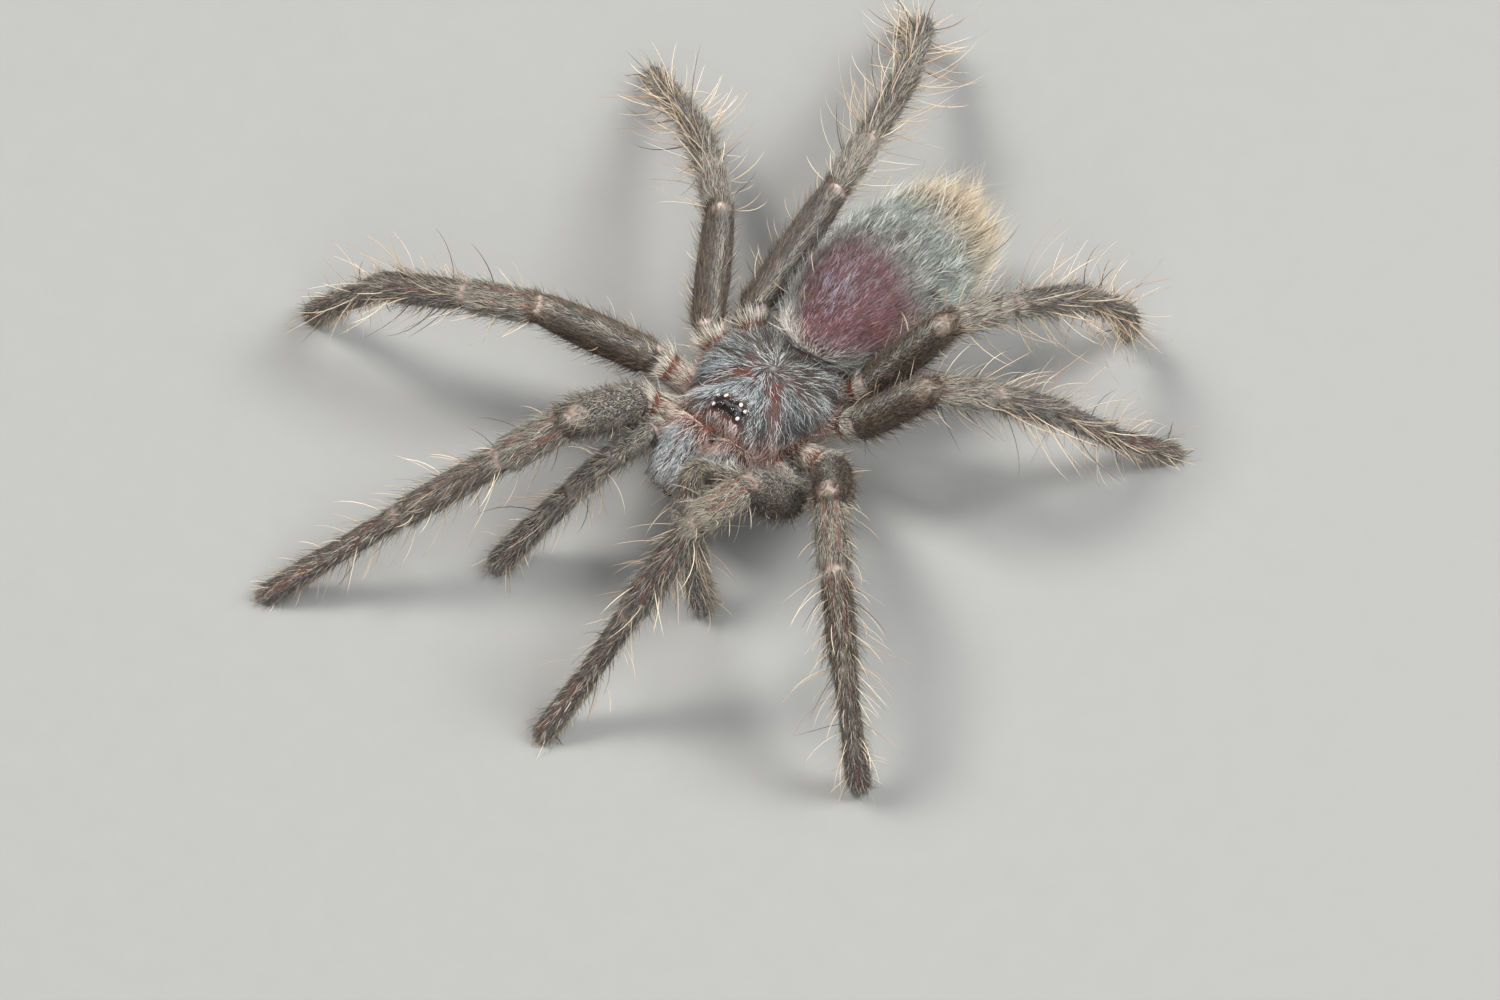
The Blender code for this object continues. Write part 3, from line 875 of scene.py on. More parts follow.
@dataclass(frozen=True)
class LimbMarkings(Markings):
    """Legs and palps: grey-brown hair, bare red stripes, pale rings at the joints, red-brown hips; tops,
    knees, rings and hip plates carry painted sheen and highlight as well as their own colours.

    Five numbers in a row are for the palp and the four legs, and seven are for the Segments.
    """

    skin: np.ndarray = tone(66, 54, 46)
    hair: np.ndarray = tone(92, 80, 67)
    pale: np.ndarray = tone(174, 164, 146)
    under: np.ndarray = tone(74, 62, 42)
    hip: np.ndarray = tone(106, 62, 48)
    # The pale hip plates, pale joint rings, bluish tops and silvery knees are partly the limbs' own colours
    # and partly painted highlight and sheen.
    pale_plate_and_glint: np.ndarray = tone(222, 194, 188)
    stripe: np.ndarray = tone(118, 72, 60)
    ring: np.ndarray = tone(180, 162, 151)
    bluish_hair_and_sheen: np.ndarray = tone(106, 117, 120)
    olive: np.ndarray = tone(98, 84, 58)
    cream: np.ndarray = tone(214, 194, 164)
    umber: np.ndarray = tone(68, 53, 40)
    tawny: np.ndarray = tone(114, 96, 74)
    silver_hair_and_sheen: np.ndarray = tone(136, 138, 134)
    frost: np.ndarray = tone(206, 200, 190)
    stripe_angle: float = 0.42
    stripe_width: float = 0.16
    fore: tuple[float, ...] = (0.8, 1.05, 0.08, 0.0, 0.0)               # how much wider the bluish top is
    olive_below: tuple[float, ...] = (0.35, 0.35, 0.8, 0.8, 0.8)
    fluff: tuple[float, ...] = (0.0, 0.0, 0.08, 0.08, 0.08)             # lift of hair on shin and foot
    stripes: tuple[float, ...] = (0.7, 0.9, 0.8, 0.55, 0.25)
    bristling: tuple[float, ...] = (0.55, 0.4, 0.6, 0.95, 0.95)
    bluish_and_sheen_on: tuple[float, ...] = (0.0, 0.0, 0.8, 0.6, 0.0, 0.0, 0.0)
    striped_on: tuple[float, ...] = (0.0, 0.0, 0.0, 1.0, 1.0, 0.7, 0.0)
    ringed_on: tuple[float, ...] = (0.0, 0.0, 1.0, 0.6, 0.75, 0.3, 0.0)
    ring_widths: tuple[float, ...] = (0.1, 0.1, 0.12, 0.1, 0.1, 0.1, 0.1)
    setae: tuple[float, ...] = (2.0, 2.0, 6.0, 5.0, 9.0, 10.0, 7.0)
    setae_lengths: tuple[float, ...] = (0.8, 0.8, 0.8, 1.35, 1.8, 1.6, 0.9)

    def look(self, form: Limb, places: Where, points: np.ndarray) -> Look:
        """Colours from the body outwards, and round each segment from its top (angle 0) to its underside.

        Args:
            form: the form.
            places: where the points lie on it.
            points: places, one per row.

        Returns:
            The look at each point.
        """
        kind, share, angle, number = places.segment, places.share, np.abs(places.around), form.number

        def on(*kinds: Segment) -> np.ndarray:
            """1 on some segments and 0 on the others."""
            return np.isin(kind, [one.value for one in kinds]).astype(float)

        femur, patella, shin = on(Segment.FEMUR), on(Segment.PATELLA), on(Segment.TIBIA)
        foot, tarsus, hips = on(Segment.METATARSUS), on(Segment.TARSUS), on(Segment.COXA, Segment.TROCHANTER)
        palp = float(number == 0)
        patchy, below = waves(points, 0.45, 11), rise(angle, 1.4, 2.5)
        look = self.even()
        look.tint(below, skin=self.under)
        look.tint(below * self.olive_below[number], hair=self.olive)
        # Painted sheen: the top of each segment gets bluish hair and more pale hair, partly the limb's own
        # bluish hair and partly the sheen where light glances.
        sheen_top = hill(angle, 0.0, 0.3 + self.fore[number])
        flank, knee_sheen = femur * (1.0 - sheen_top) * (1.0 - 0.5 * palp), patella * (1.0 - below)
        look.tint(0.9 * flank, hair=self.umber)
        look.tint(0.95 * flank, pale=self.tawny)
        # Painted highlight: the patella's top gets silvery hair and more pale hair, partly its own whitish
        # hair and partly the shine on it.
        look.tint(0.75 * knee_sheen, hair=self.silver_hair_and_sheen)
        look.tint(sheen_top * (np.array(self.bluish_and_sheen_on)[kind] + 0.55 * palp), hair=self.bluish_hair_and_sheen)
        look.pale_share = look.pale_share + 0.32 * knee_sheen + (0.2 + 0.1 * palp) * sheen_top - 0.12 * below
        look.length = 0.46 - 0.08 * (foot + tarsus)
        look.lift = 0.24 + 0.2 * below + 0.06 * patchy + (shin + foot) * self.fluff[number]
        look.guard = 0.4 + 1.1 * below + 0.35 * (shin + foot + tarsus)

        middle_part = rise(share, 0.06, 0.16) * (1.0 - rise(share, 0.84, 0.94))
        striped = self.stripes[number] * np.array(self.striped_on)[kind]
        stripe = hill(angle, self.stripe_angle, self.stripe_width) * middle_part * striped
        centre_line = hill(angle, 0.0, 0.3) * rise(share, 0.02, 0.2) * tarsus
        bare = np.clip(stripe + 0.6 * centre_line, 0.0, 1.0)
        look.tint(bare, skin=self.stripe)
        look.change(bare, density=-0.6)
        look.change(stripe, swell=-0.02)

        to_joint = places.to_end / np.array(self.ring_widths)[kind]
        ringed = np.array(self.ringed_on)[kind]
        dorsal = 1.0 - rise(angle, 0.8, 1.5)
        ring = (1.0 - rise(to_joint, 0.45, 1.0)) * ringed * dorsal
        ring = ring * np.clip(0.75 + 0.7 * waves(points, 0.16, 12), 0.0, 1.0)
        rust = (1.0 - rise(to_joint, 0.9, 1.8)) * ringed * dorsal
        look.tint(0.6 * rust, skin=self.stripe)
        look.change(rust, density=-0.12)
        # Pale joint patches on top at each segment's end: their pale skin and cream hair are partly the
        # joint's own colour and partly painted highlight, over a glossier skin.
        look.tint(ring, skin=self.ring)
        look.tint(ring * 0.4, hair=self.cream)
        look.change(ring, density=-0.42, gloss=0.85, swell=0.03)

        look.tint(hips, skin=self.hip * (1.0 + 0.3 * patchy)[:, None])
        # Pale pinkish-white plates on the hips: their colour is partly the plates' own and partly painted
        # highlight on their shine.
        collar = hill(share, 0.76, 0.12) * hips + hill(share, 0.04, 0.03) * femur
        pale_plate_and_glint = collar * rise(patchy, -0.5, 0.2) * hill(angle, 0.3, 0.8)
        look.tint(pale_plate_and_glint, skin=self.pale_plate_and_glint)
        look.gloss = np.clip(look.gloss + 0.35 * hips + 0.85 * pale_plate_and_glint, 0.0, 1.0)
        look.density *= 1.0 - hips * (0.1 + 0.65 * pale_plate_and_glint)
        look.tint(hips * 0.35, hair=self.cream)
        look.tint(0.6 * hips, pale=self.frost)
        look.change(hips, pale_share=0.3, length=0.1)

        pads = tarsus * rise(angle, 1.0, 1.6) + 0.6 * foot * rise(angle, 1.8, 2.4)
        look.tint(pads * 0.6, hair=self.cream * 0.8)
        look.change(pads, density=0.4, lift=0.4, length=-0.1)
        tip = tarsus * rise(share, 0.86, 0.97)
        look.tint(tip * 0.8, hair=self.cream)
        look.change(tip, density=0.6)
        look.dark_share = look.dark_share * (1.0 - tip)
        look.lift = look.lift * (1.0 - 0.5 * tip)

        bristling, outward = self.bristling[number], rise(angle, 0.2, 0.6)
        underside = np.where(femur > 0.0, rise(angle, 1.0, 2.0), 1.0)
        look.setae = bristling * outward * (np.array(self.setae)[kind] * underside)
        look.setae_length = np.array(self.setae_lengths)[kind] * (0.75 + 0.6 * bristling)
        return look


@dataclass(frozen=True)
class ShieldMarkings(Markings):
    """The carapace: silvery blue-grey hair spreading from the fovea, over dark red furrows."""

    skin: np.ndarray = tone(64, 46, 42)
    hair: np.ndarray = tone(112, 116, 116)
    pale: np.ndarray = tone(196, 202, 202)
    furrow: np.ndarray = tone(80, 40, 30)
    rear_hair: np.ndarray = tone(104, 94, 85)
    orange: np.ndarray = tone(148, 84, 56)
    blush: np.ndarray = tone(214, 184, 170)
    tubercle: np.ndarray = tone(26, 16, 18)
    bearings: tuple[float, ...] = (0.68, 1.42, 2.1)
    furrow_widths: tuple[float, ...] = (0.31, 0.15, 0.12)
    furrow_strengths: tuple[float, ...] = (1.15, 0.7, 0.5)

    def look(self, form: Shield, places: Where, points: np.ndarray) -> Look:
        """Silver bands and furrows that run out from the fovea, a rust-red face and a black eye mound.

        Args:
            form: the form.
            places: where the points lie on it.
            points: places, one per row.

        Returns:
            The look at each point.
        """
        away, bearing, eye_gap = places.along, np.abs(places.around), form.eye_gap(points)
        above_rim = points[:, 2] - form.low[2]
        look = self.even()
        behind = rise(bearing, 1.5, 2.3) * rise(away, 0.3, 0.9)
        bands = np.maximum(hill(bearing, 0.3, 0.26), 0.8 * hill(bearing, 1.05, 0.16)) * rise(away, 0.1, 0.5)
        look.tint(np.clip(behind + 0.75 * (1.0 - bands), 0.0, 1.0), hair=self.rear_hair)
        streams = waves(flow(places.around * 1.6, away * 0.7), 0.5, 23)
        look.hair = look.hair * (1.0 + 0.14 * streams)[:, None]
        look.pale_share = 0.24 + 0.2 * bands + 0.18 * streams
        look.dark_share = np.clip(0.3 - 0.12 * bands - 0.14 * streams, 0.03, 1.0)
        look.guard = 0.04 + 0.4 * behind
        look.length = np.clip(0.4 + 0.14 * away, 0.4, 0.64)
        look.lift = 0.2 + 0.05 * waves(points, 0.4, 21)

        furrows = np.zeros(len(points))
        for aim, width, strength in zip(self.bearings, self.furrow_widths, self.furrow_strengths):
            crooked = aim + 0.05 * waves(points, 0.7, 22)
            furrows += strength * hill((bearing - crooked) * away, 0.0, width) * rise(away, 0.25, 0.7)
        furrows = np.clip(furrows * (1.0 - rise(away, 2.2, 2.8)), 0.0, 1.0)
        pit = hill(away, 0.0, 0.1)
        look.tint(furrows, skin=self.furrow)
        look.tint(pit, skin=self.pale * 0.6)
        look.change(furrows, density=-0.76, gloss=0.25)
        look.swell -= 0.08 * furrows + 0.03 * pit
        look.hair = look.hair * (1.0 - 0.3 * rise(away, 1.4, 2.4))[:, None]

        low_edge = 1.0 - rise(above_rim + 0.1 * waves(points, 0.5, 24), 0.12, 0.55)
        brow = (1.0 - rise(above_rim, 0.5, 1.1)) * (1.0 - rise(places.share, 0.1, 0.32))
        face = 1.0 - rise(places.share, 0.03, 0.08)
        warm = np.clip(low_edge * (1.0 - behind) + 0.9 * np.maximum(brow, face), 0.0, 1.0)
        look.tint(warm * 0.85, skin=self.orange * 0.7)
        look.tint(warm * (0.7 - 0.35 * face), hair=self.orange)
        look.tint(warm, pale=self.blush)
        look.change(face, pale_share=0.22)
        look.change(warm, density=-0.25)
        look.change(low_edge, lift=0.4)

        mound = np.maximum(rise(form.mound(points), 0.45, 0.8), 1.0 - rise(eye_gap, 0.14, 0.2))
        look.tint(mound, skin=self.tubercle)
        look.change(mound, gloss=0.5)
        look.change(1.0 - rise(eye_gap, 0.18, 0.36), swell=0.06)
        look.density *= (1.0 - 0.6 * mound) * (1.0 - 0.93 * (1.0 - rise(eye_gap, 0.12, 0.2)))
        room = 0.09 + 0.75 * np.clip(eye_gap - 0.13, 0.0, None)
        look.length = np.where(face > 0.5, look.length, np.minimum(look.length, room))
        look.setae = 0.8 * low_edge + 0.5 * mound
        look.setae_length = 0.7
        return look


@dataclass(frozen=True)
class AbdomenMarkings(Markings):
    """The abdomen: a velvety wine-red patch in front, grey-teal hair round it, tan hair behind."""

    skin: np.ndarray = tone(70, 58, 54)
    hair: np.ndarray = tone(150, 158, 149)
    pale: np.ndarray = tone(206, 209, 200)
    wine: np.ndarray = tone(93, 50, 50)
    mauve: np.ndarray = tone(126, 96, 98)
    fleck: np.ndarray = tone(150, 148, 160)
    tan: np.ndarray = tone(212, 188, 158)
    front: np.ndarray = tone(196, 182, 172)
    dusk: np.ndarray = tone(98, 96, 90)
    patch_middle: float = 0.23
    patch_reach: float = 0.265
    patch_spread: float = 1.68
    patch_turn: float = 0.17            # radians that its middle lies to the left of the top
    skew: float = 0.03                  # share of the length that the left side's markings lie further on

    def look(self, form: Egg, places: Where, points: np.ndarray) -> Look:
        """A cream front, the patch with its dusky rim, and hair that grows longer towards the tail.

        Args:
            form: not used here.
            places: where the points lie on it.
            points: places, one per row.

        Returns:
            The look at each point.
        """
        angle = places.around
        share = places.share + self.skew * np.sin(angle)
        turned = (angle - self.patch_turn) / self.patch_spread
        out = np.hypot((share - self.patch_middle) / self.patch_reach, turned) + 0.08 * waves(points, 0.8, 31)
        patch, tail = 1.0 - rise(out, 0.48, 1.28), rise(share, 0.66, 0.9)
        look = self.even()
        look.length = (0.5 + 0.65 * rise(share, 0.62, 0.92)) * (1.0 - 0.3 * patch)
        look.lift = 0.26 + 0.1 * waves(points, 0.6, 32) + 0.22 * rise(share, 0.7, 0.95) + 0.25 * patch
        look.tint(tail * 0.85, hair=self.tan)
        look.tint(tail, pale=self.tan * 1.15)
        nose = 1.0 - rise(share - 0.01 * angle ** 2, 0.01, 0.07)
        look.tint(patch, skin=self.wine)
        redder = 0.16 * waves(points, 1.3, 34) + 0.26 * np.sin(angle)
        look.tint(patch, hair=self.wine * (1.0 + redder[:, None] * (1.0, -0.3, -0.3)))
        look.tint(0.7 * (hill(out, 1.2, 0.3) * (1.0 - nose)), hair=self.dusk)
        look.tint(nose * 0.85, hair=self.front)
        look.tint(nose * 0.6, skin=self.front * 0.7)
        # Painted sheen as well as pale flecks: the top middle of the patch gets more pale hair, blended
        # towards bluish-grey.
        middle_flecks_and_sheen = patch * hill(share, self.patch_middle, 0.16) * hill(angle, 0.0, 0.7)
        look.tint(patch, pale=mix(self.mauve, self.fleck, middle_flecks_and_sheen))
        look.pale_share = (0.3 + 0.2 * tail) * (1.0 - patch) + (0.1 + 0.24 * middle_flecks_and_sheen) * patch
        look.dark_share = 0.16 * (1.0 - patch) + 0.3 * patch
        look.guard = 0.5 + 0.9 * tail
        look.swell = 0.02 * waves(points, 0.5, 33)
        look.setae = 0.35 + 1.6 * tail + 0.25 * (1.0 - patch)
        look.setae_length = 1.0 + 0.7 * tail
        return look


@dataclass(frozen=True)
class JawMarkings(Markings):
    """A chelicera: streams of silvery hair on both sides of bare red-brown lines, orange at the tip."""

    skin: np.ndarray = tone(84, 50, 42)
    hair: np.ndarray = tone(144, 148, 148)
    pale: np.ndarray = tone(220, 222, 220)
    warm: np.ndarray = tone(150, 104, 74)
    lines: tuple[tuple[float, float], ...] = ((0.1, 1.0), (-0.62, 0.8), (0.85, 0.7))     # angle and strength
    line_width: float = 0.13

    def look(self, form: Jaw, places: Where, points: np.ndarray) -> Look:
        """Bare lines along the jaw, and warmer, looser hair low down and at the tip.

        Args:
            form: not used here.
            places: where the points lie on it.
            points: places, one per row.

        Returns:
            The look at each point.
        """
        look = self.even()
        crooked = places.around + 0.12 * waves(points, 0.6, 61)
        line = sum(strength * hill(crooked, angle, self.line_width) for angle, strength in self.lines)
        line = np.clip(line, 0.0, 1.0) * (1.0 - rise(places.share, 0.7, 0.95))
        low, tip = rise(np.abs(places.around), 1.3, 2.2), rise(places.share, 0.72, 0.98)
        look.pale_share = 0.55 - 0.35 * low
        look.dark_share = 0.1 + 0.1 * low
        look.tint(np.clip(0.8 * tip + 0.5 * low, 0.0, 1.0), hair=self.warm)
        look.change(line, density=-0.8, swell=-0.03)
        look.length = 0.5 - 0.12 * tip
        look.lift = 0.2 + 0.15 * low + 0.2 * tip
        look.guard = 0.1 + 0.5 * low
        look.setae = 1.2 * low + 1.5 * tip
        look.setae_length = 0.8
        return look


@dataclass(frozen=True)
class BellyMarkings(Markings):
    """The sternum, waist and spinnerets: short brown or tan hair."""

    skin: np.ndarray = tone(84, 50, 38)
    hair: np.ndarray = tone(92, 78, 66)
    pale: np.ndarray = tone(190, 170, 145)
    length: float = 0.34
    setae: float = 0.4

    def look(self, form: Form, places: Where, points: np.ndarray) -> Look:
        """An even look, with shorter hair than the legs have."""
        return Look(self.skin, self.hair, self.pale, length=self.length, setae=self.setae)


# --- Writing meshes -------------------------------------------------------------------------------
def add_object(name: str, mesh: bpy.types.Mesh) -> bpy.types.Object:
    """Stand a mesh in the scene, shaded smooth, at the origin.

    Args:
        name: of the object.
        mesh: its mesh, in metres.

    Returns:
        The object.
    """
    mesh.shade_smooth()
    thing = bpy.data.objects.new(name, mesh)
    bpy.context.scene.collection.objects.link(thing)
    return thing


def write_mesh(name: str, points: np.ndarray, fours: np.ndarray,
               threes: np.ndarray = np.empty((0, 3), int)) -> bpy.types.Object:
    """Make an object from whole arrays.

    Args:
        name: of the object and its mesh.
        points: in millimetres, one per row.
        fours: corners of the four-sided faces, one face per row.
        threes: corners of the three-sided faces, one face per row.

    Returns:
        The object.
    """
    mesh = bpy.data.meshes.new(name)
    corners = np.concatenate((fours.ravel(), threes.ravel())).astype(np.int32)
    starts = np.concatenate((np.arange(len(fours)) * 4, len(fours) * 4 + np.arange(len(threes)) * 3))
    mesh.vertices.add(len(points))
    mesh.vertices.foreach_set("co", (points * MM).astype(np.float32).ravel())
    mesh.loops.add(len(corners))
    mesh.loops.foreach_set("vertex_index", corners)
    mesh.polygons.add(len(starts))
    mesh.polygons.foreach_set("loop_start", starts.astype(np.int32))
    mesh.update(calc_edges=True)
    return add_object(name, mesh)


def paint(thing: bpy.types.Object, name: str, colours: np.ndarray) -> None:
    """Store a colour for each point of a piece.

    Args:
        thing: the piece.
        name: of the colours.
        colours: from 0 to 1, one row per point.
    """
    layer = thing.data.color_attributes.new(name, "FLOAT_COLOR", "POINT")
    opaque = np.concatenate((np.clip(colours, 0.0, 1.0), np.ones((len(colours), 1))), axis=1)
    layer.data.foreach_set("color", opaque.astype(np.float32).ravel())


def note(thing: bpy.types.Object, name: str, values: np.ndarray) -> None:
    """Store a number or a vector for each point of a piece.

    Args:
        thing: the piece.
        name: of the values.
        values: one number or row of three per point.
    """
    kind, field_name = ("FLOAT", "value") if values.ndim == 1 else ("FLOAT_VECTOR", "vector")
    layer = thing.data.attributes.new(name, kind, "POINT")
    layer.data.foreach_set(field_name, values.astype(np.float32).ravel())


def face_outwards(thing: bpy.types.Object) -> bpy.types.Object:
    """Turn the faces of a closed piece outwards if the volume inside them comes out negative.

    Args:
        thing: the piece.

    Returns:
        The same piece.
    """
    mesh = thing.data
    mesh.calc_loop_triangles()
    points = read(mesh.vertices, "co", np.float32, 3).astype(float)
    threes = points[read(mesh.loop_triangles, "vertices", np.int32, 3)]
    if dot(threes[:, 0], np.cross(threes[:, 1], threes[:, 2])).sum() < 0.0:
        mesh.flip_normals()
    return thing


def mount(thing: bpy.types.Object, material: bpy.types.Material, slot: str,
          *replaced: str) -> bpy.types.Object:
    """Give a piece its material, attach it to the body, and hide the nodes that it stands for.

    Args:
        thing: the piece.
        material: what it is made of.
        slot: not used.
        replaced: nodes that it stands for.

    Returns:
        The same piece.
    """
    thing.data.materials.append(material)
    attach(thing, BODY)
    if replaced:
        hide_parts(*replaced)
    return thing


# --- Materials ------------------------------------------------------------------------------------
@cache
def grain_group() -> bpy.types.NodeTree:
    """A shader group: fine grain at a place, as a number for colour and a height for bump.

    The shade is 1 + (noise - 1/2) * contrast, and the height is the noise itself. It is made once,
    for all materials.

    Returns:
        The group, with inputs Place, Scale and Contrast.
    """
    group = bpy.data.node_groups.new("fine_grain", "ShaderNodeTree")
    made, nodes, links = group.interface, group.nodes, group.links
    made.new_socket("Place", in_out="INPUT", socket_type="NodeSocketVector")
    for name, value in (("Scale", 10.0), ("Contrast", 0.3)):
        made.new_socket(name, in_out="INPUT", socket_type="NodeSocketFloat").default_value = value
    for name in ("Shade", "Height"):
        made.new_socket(name, in_out="OUTPUT", socket_type="NodeSocketFloat")
    entry, leave = nodes.new("NodeGroupInput"), nodes.new("NodeGroupOutput")
    noise = nodes.new("ShaderNodeTexNoise")
    noise.inputs["Detail"].default_value = 3.0
    noise.inputs["Roughness"].default_value = 0.6
    centred, shade = nodes.new("ShaderNodeMath"), nodes.new("ShaderNodeMath")
    centred.operation, shade.operation = "SUBTRACT", "MULTIPLY_ADD"
    centred.inputs[1].default_value = 0.5
    shade.inputs[2].default_value = 1.0
    for start, end in ((entry.outputs["Place"], noise.inputs["Vector"]),
                       (entry.outputs["Scale"], noise.inputs["Scale"]),
                       (noise.outputs["Fac"], centred.inputs[0]),
                       (centred.outputs["Value"], shade.inputs[0]),
                       (entry.outputs["Contrast"], shade.inputs[1]),
                       (shade.outputs["Value"], leave.inputs["Shade"]),
                       (noise.outputs["Fac"], leave.inputs["Height"])):
        links.new(start, end)
    return group


@dataclass(frozen=True)
class Finish:
    """A material: grain over one colour, over an attribute's colours, or over two that it blends."""

    name: str
    scale: float                                # of the grain
    contrast: float
    constants: dict[str, float]                 # what the shader's inputs are set to
    colours: tuple[np.ndarray, ...] = ()        # none, one, or the two that the attribute blends
    attribute: str = ""                         # of the piece, that gives or blends the colours
    place: str = ""                             # attribute that the grain lies in, if it isn't the object
    roughness: tuple[float, ...] = ()           # where the piece's gloss is 0, and where it is 1
    bump: float = 0.0                           # how far the full height of the grain stands out

    def material(self) -> bpy.types.Material:
        """Build the material: the shader's colour is the colour times the grain's shade.

        Returns:
            The material.
        """
        material = bpy.data.materials.new(self.name)
        material.use_nodes = True
        nodes, link = material.node_tree.nodes, material.node_tree.links.new
        shader, fine = nodes["Principled BSDF"], nodes.new("ShaderNodeGroup")

        def held(name: str, output: str) -> bpy.types.NodeSocket:
            """What one of the piece's own attributes holds.

            Args:
                name: of the attribute.
                output: the socket of its node that is used.

            Returns:
                That socket.
            """
            node = nodes.new("ShaderNodeAttribute")
            node.attribute_name = name
            return node.outputs[output]

        fine.node_tree = grain_group()
        fine.inputs["Scale"].default_value = self.scale
        fine.inputs["Contrast"].default_value = self.contrast
        objects = None if self.place else nodes.new("ShaderNodeTexCoord").outputs["Object"]
        link(objects or held(self.place, "Vector"), fine.inputs["Place"])
        if len(self.colours) == 2:
            blend = nodes.new("ShaderNodeMix")
            blend.data_type = "RGBA"
            for socket, colour in zip("AB", self.colours):
                blend.inputs[socket].default_value = (*colour, 1.0)
            link(held(self.attribute, "Fac"), blend.inputs["Factor"])
            source = blend.outputs["Result"]
        else:
            source = held(self.attribute, "Color") if self.attribute else None
        shaded = nodes.new("ShaderNodeVectorMath")
        shaded.operation = "SCALE"
        if source:
            link(source, shaded.inputs[0])
        else:
            shaded.inputs[0].default_value = tuple(self.colours[0])
        link(fine.outputs["Shade"], shaded.inputs["Scale"])
        link(shaded.outputs["Vector"], shader.inputs["Base Color"])
        if self.roughness:
            gloss = nodes.new("ShaderNodeMapRange")
            gloss.inputs["To Min"].default_value, gloss.inputs["To Max"].default_value = self.roughness
            link(held("gloss", "Fac"), gloss.inputs["Value"])
            link(gloss.outputs["Result"], shader.inputs["Roughness"])
        if self.bump:
            bump = nodes.new("ShaderNodeBump")
            bump.inputs["Distance"].default_value = self.bump * MM
            link(fine.outputs["Height"], bump.inputs["Height"])
            link(bump.outputs["Normal"], shader.inputs["Normal"])
        for name, value in self.constants.items():
            shader.inputs[name].default_value = value
        return material


def lens_finish(name: str, crown: np.ndarray, rim: np.ndarray, roughness: float) -> Finish:
    """A lens: a wet clear coat over a ball whose colour deepens from its crown to its rim; the crown is the
    pearl of the rear middle pair, or a painted glint.
    """
    wet = {"Roughness": roughness, "Coat Weight": 1.0, "Coat Roughness": 0.02}
    return Finish(name, 9000.0, 0.3, wet, (rim, crown), "crown")


# Cuticle, coloured by the markings, with a nap of flat hairs as bump; hair, smooth enough to catch the
# light along its length; glossy horn, near black at the root and dark red at the point; a plain matt board.
SKIN_FINISH = Finish("tarantula_skin", 9.0, 0.7, {}, attribute="skin_colour", place="nap",
                     roughness=(0.62, 0.22), bump=0.035)
SHEEN = {"Roughness": 0.42, "Sheen Weight": 0.25, "Sheen Roughness": 0.4}
SHORT_HAIR = Finish("short_hair", 4000.0, 0.35, SHEEN, attribute="hair_colour")
LONG_HAIR = Finish("long_hair", 4000.0, 0.35, {"Roughness": 0.3, "Sheen Roughness": 0.4},
                   attribute="hair_colour")
FANG_HORN = Finish("fang_horn", 2500.0, 0.4, {"Roughness": 0.18}, (swatch(38, 22, 20), swatch(92, 30, 20)),
                   "towards_point", bump=0.006)
PALE_BOARD = Finish("pale_board", 900.0, 0.05, {"Roughness": 0.8}, (swatch(150, 149, 146),))


# --- The pieces -----------------------------------------------------------------------------------
@dataclass
class Skin:
    """One skin over all the flesh, fused from the forms and coloured by their markings."""

    forms: list[Form]
    markings: dict[str, Markings]
    voxel: float = 0.1
    fused: tuple[int, float] = (3, 0.6)         # rounds and share of the relaxing once it is fused
    swollen: tuple[int, float] = (1, 0.4)       # and once the markings have swollen it
    brightness: float = 1.2
    nap: tuple[float, float, float] = (0.5, 1.6, 7.0)       # grain along and around, and gap between forms
    surface: Surface = field(init=False)
    owner: np.ndarray = field(init=False)       # number of the form that each point belongs to

    def build(self) -> bpy.types.Object:
        """Fuse, relax, mark and write the skin.

        Returns:
            The skin's object, riding and standing for the nodes of flesh.
        """
        self.surface = fuse([grid for form in self.forms for grid in form.surfaces()], self.voxel)
        self.surface.relax(*self.fused)
        points, (along, around, gap) = self.surface.points, self.nap
        self.owner = np.array([form.distance(points) for form in self.forms]).argmin(axis=0)
        swell, gloss = np.zeros(len(points)), np.zeros(len(points))
        colour, nap = np.empty_like(points), np.empty_like(points)
        for number, form in enumerate(self.forms):
            mine = self.owner == number
            places = form.where(points[mine])
            look = self.markings[form.name].look(form, places, points[mine])
            swell[mine], gloss[mine], colour[mine] = look.swell, look.gloss, look.skin
            nap[mine] = flow(places.along * along, places.around * around, gap * number)
        self.surface.points = points + self.surface.normals() * swell[:, None]
        self.surface.relax(*self.swollen)
        self.surface.points[:, 2] = np.maximum(self.surface.points[:, 2], 0.0)
        skin = write_mesh("skin", self.surface.points, self.surface.faces)
        paint(skin, "skin_colour", colour * self.brightness)
        note(skin, "gloss", np.clip(gloss, 0.0, 1.0))
        note(skin, "nap", nap)
        flesh = [node for form in self.forms for node in form.nodes]
        return mount(skin, SKIN_FINISH.material(), "coat", *flesh)


class Layer(Enum):
    """The layers of the coat: hair that lies flat, hair that stands out a little, and long bristles."""

    LYING = 0
    GUARD = 1
    LONG = 2


@dataclass(frozen=True)
class HairStyle:
    """How the hairs of a piece are drawn out."""

    layer: Layer
    rings: int                  # of three corners each, besides the tip
    width: float                # of a hair at its root
    end_lift: float             # angle between the hair's tip and the skin
    scatter: float              # random turn about the skin's normal
    sway: float                 # sideways curl
    sunk: float = 0.03          # how deep the root lies in the skin
    flatness: float = 0.55      # thickness against width


@dataclass
class Hairs:
    """Hairs to be grown, one row each."""

    root: np.ndarray
    normal: np.ndarray
    lie: np.ndarray
    length: np.ndarray
    lift: np.ndarray
    colour: np.ndarray
    unwrapped: np.ndarray


